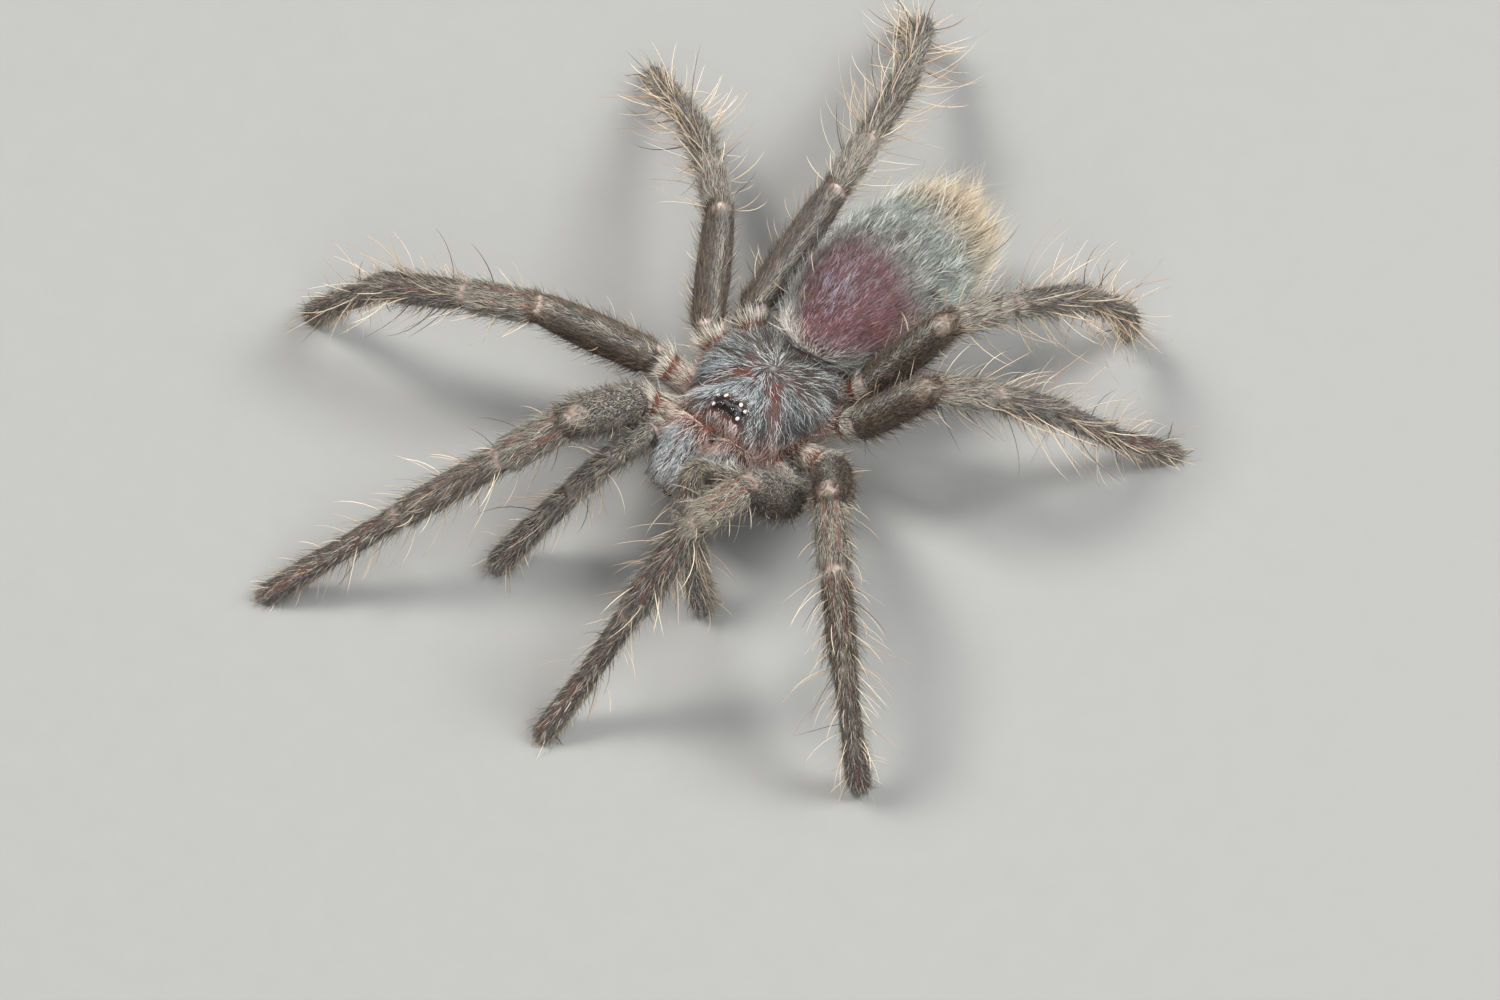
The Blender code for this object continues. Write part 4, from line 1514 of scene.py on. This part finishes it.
@dataclass
class Coat:
    """The hair of one or more forms, grown from the skin as closed curved spikes in one mesh."""

    PATCH = 0.003               # size of a hair's patch in the unwrapped map
    SLIP = (0.0, 0.12, 0.0)     # of that, how far a ring's corners lie apart along the hair
    FLOOR = 0.012               # middle lines lie no lower than this
    LOWEST = 0.002              # and corners no lower than this
    HONEY, CREAM, DARK = swatch(160, 130, 102), swatch(226, 210, 184), swatch(84, 68, 56)   # bristles
    BLACKENED = 0.36            # colour of near black hairs, against the others
    LENGTHS, GUARD_LENGTHS, BRISTLE_LENGTHS = (0.7, 1.25), (1.0, 1.9), (0.5, 1.3)   # ranges of random factors
    GUARD_LIFTS, BRISTLE_LIFTS = (0.2, 0.75), (0.75, 1.4)       # ranges of random angles
    SHADES, THICKNESSES = (0.75, 1.25), (0.75, 1.3)             # ranges of random factors

    skin: Skin
    name: str
    members: list[str]          # names of the forms it grows on
    per_area: float             # short hairs for each square millimetre where the coat is full
    style: HairStyle
    slot: str
    seed: int
    locks: float = 0.25         # how strongly hairs lean together

    def scatter(self, form: Form, number: int, random: np.random.Generator) -> Hairs:
        """Choose roots on a form's share of the skin, and give each hair its direction and colour.

        A face gets hairs in proportion to its area times the density at its middle. A root is a
        random mix of the face's corners.

        Args:
            form: the form.
            number: its place among the skin's forms.
            random: where the random draws come from.

        Returns:
            The hairs.
        """
        surface, marking = self.skin.surface, self.skin.markings[form.name]
        faces = surface.faces[self.skin.owner[surface.faces[:, 0]] == number]
        corners = surface.points[faces]
        square = np.cross(corners[:, 2] - corners[:, 0], corners[:, 3] - corners[:, 1])
        area = np.linalg.norm(square, axis=1) / 2.0
        middle = corners.mean(axis=1)
        look = marking.look(form, form.where(middle), middle)
        wanted = {Layer.LYING: look.density, Layer.GUARD: look.guard * look.density, Layer.LONG: look.setae}
        total = np.cumsum(area * self.per_area * wanted[self.style.layer])
        count = int(total[-1])
        chosen = np.searchsorted(total, (np.arange(count) + random.random(count)) / count * total[-1])
        chosen = np.minimum(chosen, len(faces) - 1)
        first, second = random.random(count)[:, None], random.random(count)[:, None]

        def mixed(values: np.ndarray) -> np.ndarray:
            """The mix of each chosen face's four corners at its root.

            Args:
                values: rows for the four corners of each chosen face.

            Returns:
                One row per hair.
            """
            near = values[:, 0] * (1.0 - first) + values[:, 1] * first
            far = values[:, 3] * (1.0 - first) + values[:, 2] * first
            return near * (1.0 - second) + far * second

        root, normal = mixed(corners[chosen]), unit(mixed(surface.normals()[faces[chosen]]))
        places = form.where(root)
        look = marking.look(form, places, root)
        lie = unit(places.lie - dot(places.lie, normal)[:, None] * normal)
        turn = random.normal(0.0, self.style.scatter, count) + self.locks * waves(root, 0.5, 41 + number)
        lie = lie * np.cos(turn)[:, None] + np.cross(normal, lie) * np.sin(turn)[:, None]
        if self.style.layer is Layer.LONG:
            length = look.setae_length * random.uniform(*self.BRISTLE_LENGTHS, count)
            lift = random.uniform(*self.BRISTLE_LIFTS, count)
            colour = mix(self.HONEY, self.CREAM, random.random(count))
            colour = np.where((random.random(count) < 0.1)[:, None], self.DARK, colour)
            return Hairs(root, normal, lie, length, lift, colour, places.unwrapped)
        length = look.length * random.uniform(*self.LENGTHS, count)
        lift = np.clip(look.lift + random.normal(0.0, 0.06, count), 0.06, 1.4)
        if self.style.layer is Layer.GUARD:
            length *= random.uniform(*self.GUARD_LENGTHS, count)
            lift = np.clip(lift + random.uniform(*self.GUARD_LIFTS, count), 0.3, 1.3)
        streak = flow(places.along * 0.8, places.around * 3.0)
        chance = random.random(count) + 0.18 * waves(streak, 0.35, 51)
        colour = np.where((chance < look.pale_share)[:, None], look.pale, look.hair)
        colour = np.where((chance > 1.0 - look.dark_share)[:, None], look.hair * self.BLACKENED, colour)
        shade = random.uniform(*self.SHADES, count) * (1.0 + 0.2 * waves(streak, 0.5, 52))
        colour = colour * shade[:, None]
        return Hairs(root, normal, lie, length, lift, colour, places.unwrapped)

    def centre_lines(self, hairs: Hairs, random: np.random.Generator) -> tuple[np.ndarray, np.ndarray]:
        """The middle line of each hair, and the direction across it.

        The angle from the skin falls evenly from the hair's lift to the style's end lift, and the
        heading turns evenly by the sway; the line is the running sum of short steps that way.

        Args:
            hairs: the hairs.
            random: where the random draws come from.

        Returns:
            Points of the lines (hairs, rings + 1, 3), and directions.
        """
        levels = self.style.rings
        share = (np.arange(levels) + 0.5) / levels
        angle = hairs.lift[:, None] * (1.0 - share) + self.style.end_lift * share
        turn = random.normal(0.0, self.style.sway, len(hairs.root))[:, None] * share
        across = np.cross(hairs.normal, hairs.lie)
        ahead = hairs.lie[:, None, :] * np.cos(turn)[..., None] + across[:, None, :] * np.sin(turn)[..., None]
        step = ahead * np.cos(angle)[..., None] + hairs.normal[:, None, :] * np.sin(angle)[..., None]
        step *= (hairs.length / levels)[:, None, None]
        root = (hairs.root - hairs.normal * self.style.sunk)[:, None, :]
        line = np.concatenate((root, root + np.cumsum(step, axis=1)), axis=1)
        line[..., 2] = np.maximum(line[..., 2], self.FLOOR)
        return line, across

    def grow(self, hairs: Hairs, random: np.random.Generator) -> tuple[np.ndarray, np.ndarray, np.ndarray]:
        """Corners of every hair, their colours and their places in the unwrapped map.

        Rings of three corners stand round the middle line, and the tip is one corner. The rings'
        size falls with the power 0.55 of what is left of the hair. The colour brightens evenly from
        0.9 of itself at the root to 1.52 at the tip.

        Args:
            hairs: the hairs.
            random: where the random draws come from.

        Returns:
            Rows for all corners: places, colours and places in the map.
        """
        levels, count = self.style.rings, len(hairs.root)
        line, across = self.centre_lines(hairs, random)
        tangent = unit(np.gradient(line, axis=1))[:, :levels]
        sideways = unit(across[:, None, :] - dot(across[:, None, :], tangent)[..., None] * tangent)
        upward = np.cross(tangent, sideways)
        angles = math.pi / 2.0 + np.arange(3) * (TURN / 3.0)
        half = self.style.width / 2.0 * (1.0 - np.arange(levels) / levels) ** 0.55
        thick = random.uniform(*self.THICKNESSES, count)
        spoke = (sideways[:, :, None, :] * np.cos(angles)[None, None, :, None]
                 + upward[:, :, None, :] * (self.style.flatness * np.sin(angles))[None, None, :, None])
        corners = line[:, :levels, None, :] + spoke * (half[None, :] * thick[:, None])[..., None, None]
        corners = np.concatenate((corners.reshape(count, levels * 3, 3), line[:, levels:]), axis=1)
        corners[..., 2] = np.maximum(corners[..., 2], self.LOWEST)
        share = np.append(np.repeat(np.arange(levels), 3), levels) / levels
        colours = hairs.colour[:, None, :] * (0.9 + 0.62 * share)[None, :, None]
        place = 0.01 + 0.98 * hairs.unwrapped
        spread = np.append(np.tile((-0.5, 0.0, 0.5), levels), 0.0) * self.PATCH
        slip = np.append(np.tile(self.SLIP, levels), 0.0) * self.PATCH
        maps = np.stack((place[:, :1] + (share - 0.5)[None, :] * self.PATCH * 0.9 + slip[None, :],
                         place[:, 1:] + spread[None, :]), axis=-1)
        return corners.reshape(-1, 3), colours.reshape(-1, 3), maps.reshape(-1, 2)

    def faces(self, count: int) -> tuple[np.ndarray, np.ndarray]:
        """Faces of all hairs: four-sided walls between rings, three at the tip and one at the root.

        Args:
            count: how many hairs.

        Returns:
            Corners of the four-sided faces and of the three-sided ones.
        """
        last, column = self.style.rings * 3 - 3, np.arange(3)
        after = (column + 1) % 3
        walls = [np.stack((start + column, start + after, start + 3 + after, start + 3 + column), axis=1)
                 for start in range(0, last, 3)]
        tip = np.stack((last + column, last + after, np.full(3, last + 3)), axis=1)
        threes = np.concatenate((tip, [[2, 1, 0]]))
        starts = (np.arange(count) * (last + 4))[:, None, None]
        fours = np.concatenate((np.empty((0, 4), int), *walls))[None] + starts
        return fours.reshape(-1, 4), (threes[None] + starts).reshape(-1, 3)

    def build(self, material: bpy.types.Material) -> bpy.types.Object:
        """Scatter, grow and write this piece of the coat.

        Args:
            material: what its hairs are made of.

        Returns:
            The piece.
        """
        random = np.random.default_rng(self.seed)
        grown, names = [], [form.name for form in self.skin.forms]
        for strip, member in enumerate(self.members):
            number = names.index(member)
            hairs = self.scatter(self.skin.forms[number], number, random)
            hairs.unwrapped = np.clip(hairs.unwrapped, 0.0, 1.0)
            hairs.unwrapped[:, 1] = (hairs.unwrapped[:, 1] + strip) / len(self.members)
            grown.append(self.grow(hairs, random))
        points, colours, maps = (np.concatenate(arrays) for arrays in zip(*grown))
        fours, threes = self.faces(len(points) // (self.style.rings * 3 + 1))
        piece = write_mesh(self.name, points, fours, threes)
        paint(piece, "hair_colour", colours)
        layer = piece.data.uv_layers.new(name="OFBake")
        corners = np.concatenate((fours.ravel(), threes.ravel()))
        layer.uv.foreach_set("vector", maps[corners].astype(np.float32).ravel())
        return mount(piece, material, self.slot)


class Eye(Enum):
    """The four pairs of eyes: the front middle pair is black, the rear middle pair pearly, and the side pairs
    dark with a painted rose glint.
    """

    FRONT_MIDDLE = "front_middle"
    FRONT_SIDE = "front_side"
    REAR_SIDE = "rear_side"
    REAR_MIDDLE = "rear_middle"


@dataclass
class Eyes:
    """Eight lenses, each in its own place, with the front middle pair round and the others oval."""

    FINISHES = {
        # Crown and rim of each pair; the side pairs' rose crowns are painted glints.
        Eye.FRONT_MIDDLE: lens_finish("eye_black", swatch(16, 13, 13), swatch(10, 8, 8), 0.05),
        Eye.FRONT_SIDE: lens_finish("eye_rose_glint", swatch(236, 212, 216), swatch(30, 16, 20), 0.1),
        Eye.REAR_SIDE: lens_finish("eye_dark_rose_glint", swatch(214, 190, 194), swatch(28, 16, 20), 0.1),
        Eye.REAR_MIDDLE: lens_finish("eye_peach", swatch(250, 222, 192), swatch(128, 84, 62), 0.12),
    }
    rings: int = 24
    sides: int = 36
    oval: float = 1.14          # half length against radius, besides the round pair
    # Where the crown's colour lies: a painted glint on the side pairs, the rear middle pair's own pearl.
    glint_start: float = 0.62         # where the crown's colour starts: the cosine of the angle from the pole
    pearl_start: float = 0.2     # the same for the palest pair
    glint_and_pearl_edge: float = 0.25    # how softly it starts

    def lens(self, kind: Eye, side: str, material: bpy.types.Material) -> bpy.types.Object:
        """One lens: a ball whose shape is stretched a little, with its pole towards the light outside, where
        the crown's colour lies: a painted glint on the side pairs.

        The point at polar angle p and turn t is the middle plus the radius times
        (sin p cos t, sin p sin t, cos p), with the pole along the lens's own outward direction.

        Args:
            kind: which pair it is in.
            side: left or right.
            material: what it is made of.

        Returns:
            The lens, riding and standing for its node.
        """
        node = f"eye_{kind.value}_{side}"
        low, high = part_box(node)
        middle = (np.array(low) + np.array(high)) / 2.0 / MM
        radius = float((high - low).length / MM) / (2.0 * math.sqrt(3.0))
        round_pair = kind is Eye.FRONT_MIDDLE
        pole = unit(np.array((SIDES[side] * (0.25 if round_pair else 0.75),
                              -0.55 if "front" in kind.value else 0.25, 1.0)))
        oval = 1.0 if round_pair else self.oval
        long_way = unit(np.cross(pole, (0.0, 1.0, 0.3)))
        short_way = np.cross(pole, long_way)
        polar = np.linspace(0.0, math.pi, self.rings + 1)[1:-1]
        turn = np.arange(self.sides) * (TURN / self.sides)
        wall = (np.sin(polar)[:, None, None] * (np.cos(turn)[None, :, None] * short_way * oval
                                                + np.sin(turn)[None, :, None] * long_way / oval)
                + np.cos(polar)[:, None, None] * pole)
        points = middle + radius * np.concatenate((wall.reshape(-1, 3), pole[None], -pole[None]))
        column = np.arange(self.sides)
        after, start = (column + 1) % self.sides, (len(polar) - 1) * self.sides
        poles = np.full((2, self.sides), ((len(points) - 2,), (len(points) - 1,)))
        threes = np.concatenate((np.stack((after, column, poles[0]), axis=1),
                                 np.stack((start + column, start + after, poles[1]), axis=1)))
        walls = np.array(grid_faces(len(polar), self.sides)[:-2])
        eye = face_outwards(write_mesh(f"lens_{kind.value}_{side}", points, walls, threes))
        start = self.pearl_start if kind is Eye.REAR_MIDDLE else self.glint_start
        # The crown: painted glint round the pole on the side pairs, pearly colour on the rear middle pair.
        note(eye, "crown", rise(dot(unit(points - middle), pole), start, start + self.glint_and_pearl_edge))
        return mount(eye, material, "eye", node)

    def build(self) -> list[bpy.types.Object]:
        """Build all eight.

        Returns:
            The lenses.
        """
        made = []
        for kind in Eye:
            material = self.FINISHES[kind].material()
            made += [self.lens(kind, side, material) for side in SIDES]
        return made


@dataclass
class Fangs:
    """Two smooth curved fangs, drawn through the rings of their CAD solids."""

    stations: int = 32
    sides: int = 20
    root_ring: int = 8                                      # corners of the solid's first ring
    start_aim: tuple[float, float, float] = (0.0, 0.65, -0.75)
    tuck: tuple[float, float, float] = (0.0, 0.36, 0.42)    # moves the root up into the jaw's tip
    tuck_reach: float = 1.2                                 # rings over which that fades
    point_length: float = 0.5                               # rings that the point rounds off over
    bluntness: float = 0.02                                 # rings that the point is short of being sharp

    def fang(self, side: str, material: bpy.types.Material) -> bpy.types.Object:
        """One fang: rings on a smooth line through the solid's ring middles, thinning to the point.

        The line is the cubic that fits those middles best, one for each of x, y and z.

        Args:
            side: left or right.
            material: what it is made of.

        Returns:
            The fang, riding and standing for its node.
        """
        solid = Solid(f"fang_{side}")
        rings = solid.rings(solid.points @ unit(np.array(self.start_aim)), self.root_ring)
        middles = np.array([ring.mean(axis=0) for ring in rings])
        radii = np.array([ring_radius(ring) for ring in rings])
        turn, steps = np.linspace(0.0, len(rings) - 1.0, self.stations), np.arange(len(rings))
        smooth = np.stack([np.polyval(np.polyfit(steps, line, 3), turn) for line in middles.T], axis=1)
        smooth += np.exp(-turn / self.tuck_reach)[:, None] * np.array(self.tuck)
        left = (steps[-1] + self.bluntness - turn) / self.point_length
        size = np.interp(turn, steps, radii) * np.sqrt(np.clip(left, 0.0, 1.0))
        grid = tube(smooth, np.gradient(smooth, axis=0), (1.0, 0.0, 0.0), size[:, None], self.sides)
        mesh = bpy.data.meshes.new(f"fang_{side}_horn")
        mesh.from_pydata((grid.reshape(-1, 3) * MM).tolist(), [], grid_faces(self.stations, self.sides))
        fang = face_outwards(add_object(f"fang_{side}_horn", mesh))
        note(fang, "towards_point", np.repeat(np.linspace(0.0, 1.0, self.stations), self.sides))
        return mount(fang, material, "fang", f"fang_{side}")

    def build(self) -> list[bpy.types.Object]:
        """Build both."""
        material = FANG_HORN.material()
        return [self.fang(side, material) for side in SIDES]


# --- The studio -----------------------------------------------------------------------------------
def aim(thing: bpy.types.Object, target: Vector, bearing: float, height: float, distance: float) -> None:
    """Stand a lamp or camera round the target and turn it there.

    Args:
        thing: what is stood.
        target: what it looks at, in metres.
        bearing: degrees from straight ahead of the spider, towards its left.
        height: degrees above the floor.
        distance: metres from the target.
    """
    turn, tilt = math.radians(bearing), math.radians(height)
    away = Vector((math.sin(turn) * math.cos(tilt), -math.cos(turn) * math.cos(tilt), math.sin(tilt)))
    thing.location = target + away * distance
    thing.rotation_euler = away.to_track_quat("Z", "Y").to_euler()
    bpy.context.scene.collection.objects.link(thing)


@dataclass(frozen=True)
class Lamp:
    """A soft square lamp: where it hangs round the model (see aim), its size in metres, power in watts."""

    name: str
    bearing: float
    height: float
    distance: float
    size: float
    power: float
    colour: tuple[float, float, float]

    def hang(self, target: Vector) -> None:
        """Place the lamp and turn it to the target.

        Args:
            target: what it shines on, in metres.
        """
        light = bpy.data.lights.new(self.name, "AREA")
        light.size, light.energy, light.color = self.size, self.power, self.colour
        aim(bpy.data.objects.new(self.name, light), target, self.bearing, self.height, self.distance)


@dataclass(frozen=True)
class Studio:
    """Floor, lamps, surroundings and camera."""

    camera_bearing: float = 38.0        # degrees, as in aim
    camera_height: float = 54.0         # degrees
    camera_distance: float = 1.0        # metres
    view_width: float = 0.05            # metres of the field at the target
    target: tuple[float, float, float] = (2.615, -2.124, -0.993)
    floor_size: float = 3.0             # metres
    sky: tuple[float, float, float, float] = (0.86, 0.91, 1.0, 1.0)
    sky_strength: float = 0.16
    lamps: tuple[Lamp, ...] = (
        Lamp("key", -80.0, 57.0, 0.35, 0.12, 1.08, (1.0, 0.985, 0.96)),
        Lamp("fill", 45.0, 44.0, 0.4, 0.3, 1.1, (0.94, 0.965, 1.0)),
        Lamp("back", 135.0, 50.0, 0.35, 0.14, 1.1, (0.97, 0.99, 1.0)),
    )

    def build(self) -> None:
        """Lay the floor, hang the lamps and stand the camera."""
        bpy.ops.mesh.primitive_plane_add(size=self.floor_size, location=(0.0, 0.0, 0.0))
        floor = bpy.context.object
        floor.name = "floor"
        floor.data.materials.append(PALE_BOARD.material())
        scene, world = bpy.context.scene, bpy.data.worlds.new("studio")
        world.use_nodes = True
        sky = world.node_tree.nodes["Background"].inputs
        sky["Color"].default_value, sky["Strength"].default_value = self.sky, self.sky_strength
        scene.world = world
        scene.view_settings.view_transform = "Standard"
        target = Vector(self.target) * MM
        for lamp in self.lamps:
            lamp.hang(target)
        camera = bpy.data.cameras.new("camera")
        camera.sensor_width = 36.0
        camera.angle = 2.0 * math.atan(self.view_width / 2.0 / self.camera_distance)
        camera.clip_start = 0.01
        scene.camera = bpy.data.objects.new("camera", camera)
        aim(scene.camera, target, self.camera_bearing, self.camera_height, self.camera_distance)


# --- Putting it together --------------------------------------------------------------------------
def body_forms() -> list[Form]:
    """Every form that the skin is fused from, in a fixed order.

    Returns:
        The forms.
    """
    forms: list[Form] = []
    for side in SIDES:
        for number in (1, 2, 3, 4):
            nodes = [f"leg_{number}_{part}_{side}" for part in ("femur", "patella", "tibia", "foot")]
            forms.append(Limb(f"leg_{number}_{side}", nodes, number))
    for side in SIDES:
        nodes = [f"palp_{part}_{side}" for part in ("femur", "patella", "tibia", "tarsus")]
        forms.append(Limb(f"palp_{side}", nodes, 0))
    shield, lean = Shield("carapace", ["carapace"]), math.radians(5.0)
    forms += [shield, Egg.of_solid("abdomen", (math.sin(lean), math.cos(lean), 0.0), coat_depth=0.17,
                                   power=2.3, whorl_drop=0.85, nose=0.8, nose_lift=0.42)]
    forms += [Jaw.of_solid(f"chelicera_{side}", (0.03 * sign, -0.833, -0.553), coat_depth=0.09, power=2.4)
              for side, sign in SIDES.items()]
    belly, belly_half = np.array((shield.middle_x, 0.59, 2.25)), np.array((1.75, 2.2, 0.72))
    forms += [Egg("sternum", ["sternum_and_coxae"], belly, belly_half, np.diag((-1.0, 1.0, -1.0)),
                  power=2.4, coat_depth=0.08),
              Egg.of_solid("pedicel", (0.1, 0.45, 0.16), coat_depth=0.02, power=2.0)]
    forms += [Egg.of_solid(f"spinneret_{side}", (0.26 * sign, 1.0, -0.1), coat_depth=0.05, power=2.6)
              for side, sign in SIDES.items()]
    return forms


def coats(skin: Skin) -> list[Coat]:
    """Every piece of the coat: first each side's limbs and jaw, then the body.

    Args:
        skin: what the hair grows on.

    Returns:
        The pieces, not yet built.
    """
    lying = HairStyle(Layer.LYING, rings=1, width=0.034, end_lift=0.06, scatter=0.13, sway=0.0)
    fine = HairStyle(Layer.LYING, rings=2, width=0.026, end_lift=0.03, scatter=0.15, sway=0.5, sunk=0.012)
    guard = HairStyle(Layer.GUARD, rings=2, width=0.026, end_lift=0.3, scatter=0.25, sway=0.4)
    bristle = HairStyle(Layer.LONG, rings=5, width=0.04, end_lift=0.45, scatter=0.35, sway=0.4,
                        sunk=0.04, flatness=0.9)
    body = ["abdomen", "carapace", "chelicera_left", "chelicera_right"]
    rows = []       # name, forms, hairs for each square millimetre, style, slot and seed
    for side, seed in (("left", 101), ("right", 109)):
        limbs = [f"leg_{number}_{side}" for number in (1, 2, 3, 4)] + [f"palp_{side}"]
        rows += [(f"coat_{limb}", [limb], 420.0, lying, "coat", seed + step)
                 for step, limb in enumerate(limbs)]
        rows += [(f"coat_chelicera_{side}", [f"chelicera_{side}"], 430.0, fine, "head_coat", seed + 7),
                 (f"guard_hair_{side}", limbs, 52.0, guard, "coat", seed + 8),
                 (f"bristles_{side}", limbs, 1.0, bristle, "coat", seed + 9)]
    rows += [("coat_carapace", ["carapace"], 400.0, fine, "head_coat", 140),
             ("coat_abdomen", ["abdomen"], 420.0, lying, "abdomen_coat", 141),
             ("coat_belly", ["sternum", "pedicel"], 260.0, lying, "hip_skin", 142),
             ("coat_spinnerets", ["spinneret_left", "spinneret_right"], 300.0, lying, "spinneret_coat", 143),
             ("guard_hair_body", body, 60.0, guard, "abdomen_coat", 144),
             ("bristles_body", body, 1.0, bristle, "abdomen_coat", 145)]
    return [Coat(skin, *row) for row in rows]


def main() -> None:
    """Build the skin, the coat, the eyes, the fangs and the studio, and report each piece."""
    logging.basicConfig(level=logging.INFO, format="%(message)s")
    forms = body_forms()
    kinds = {Limb: LimbMarkings(), Jaw: JawMarkings(), Shield: ShieldMarkings(), Egg: BellyMarkings()}
    markings = {form.name: kinds[type(form)] for form in forms} | {"abdomen": AbdomenMarkings()}
    skin = Skin(forms, markings)
    pieces = [skin.build()]
    short, long = SHORT_HAIR.material(), LONG_HAIR.material()
    pieces += [coat.build(long if coat.style.layer is Layer.LONG else short) for coat in coats(skin)]
    pieces += Eyes().build()
    pieces += Fangs().build()
    for piece in pieces:
        LOG.info("%s: %d points, %d faces", piece.name, len(piece.data.vertices), len(piece.data.polygons))
    Studio().build()


if __name__ == "__main__":
    main()
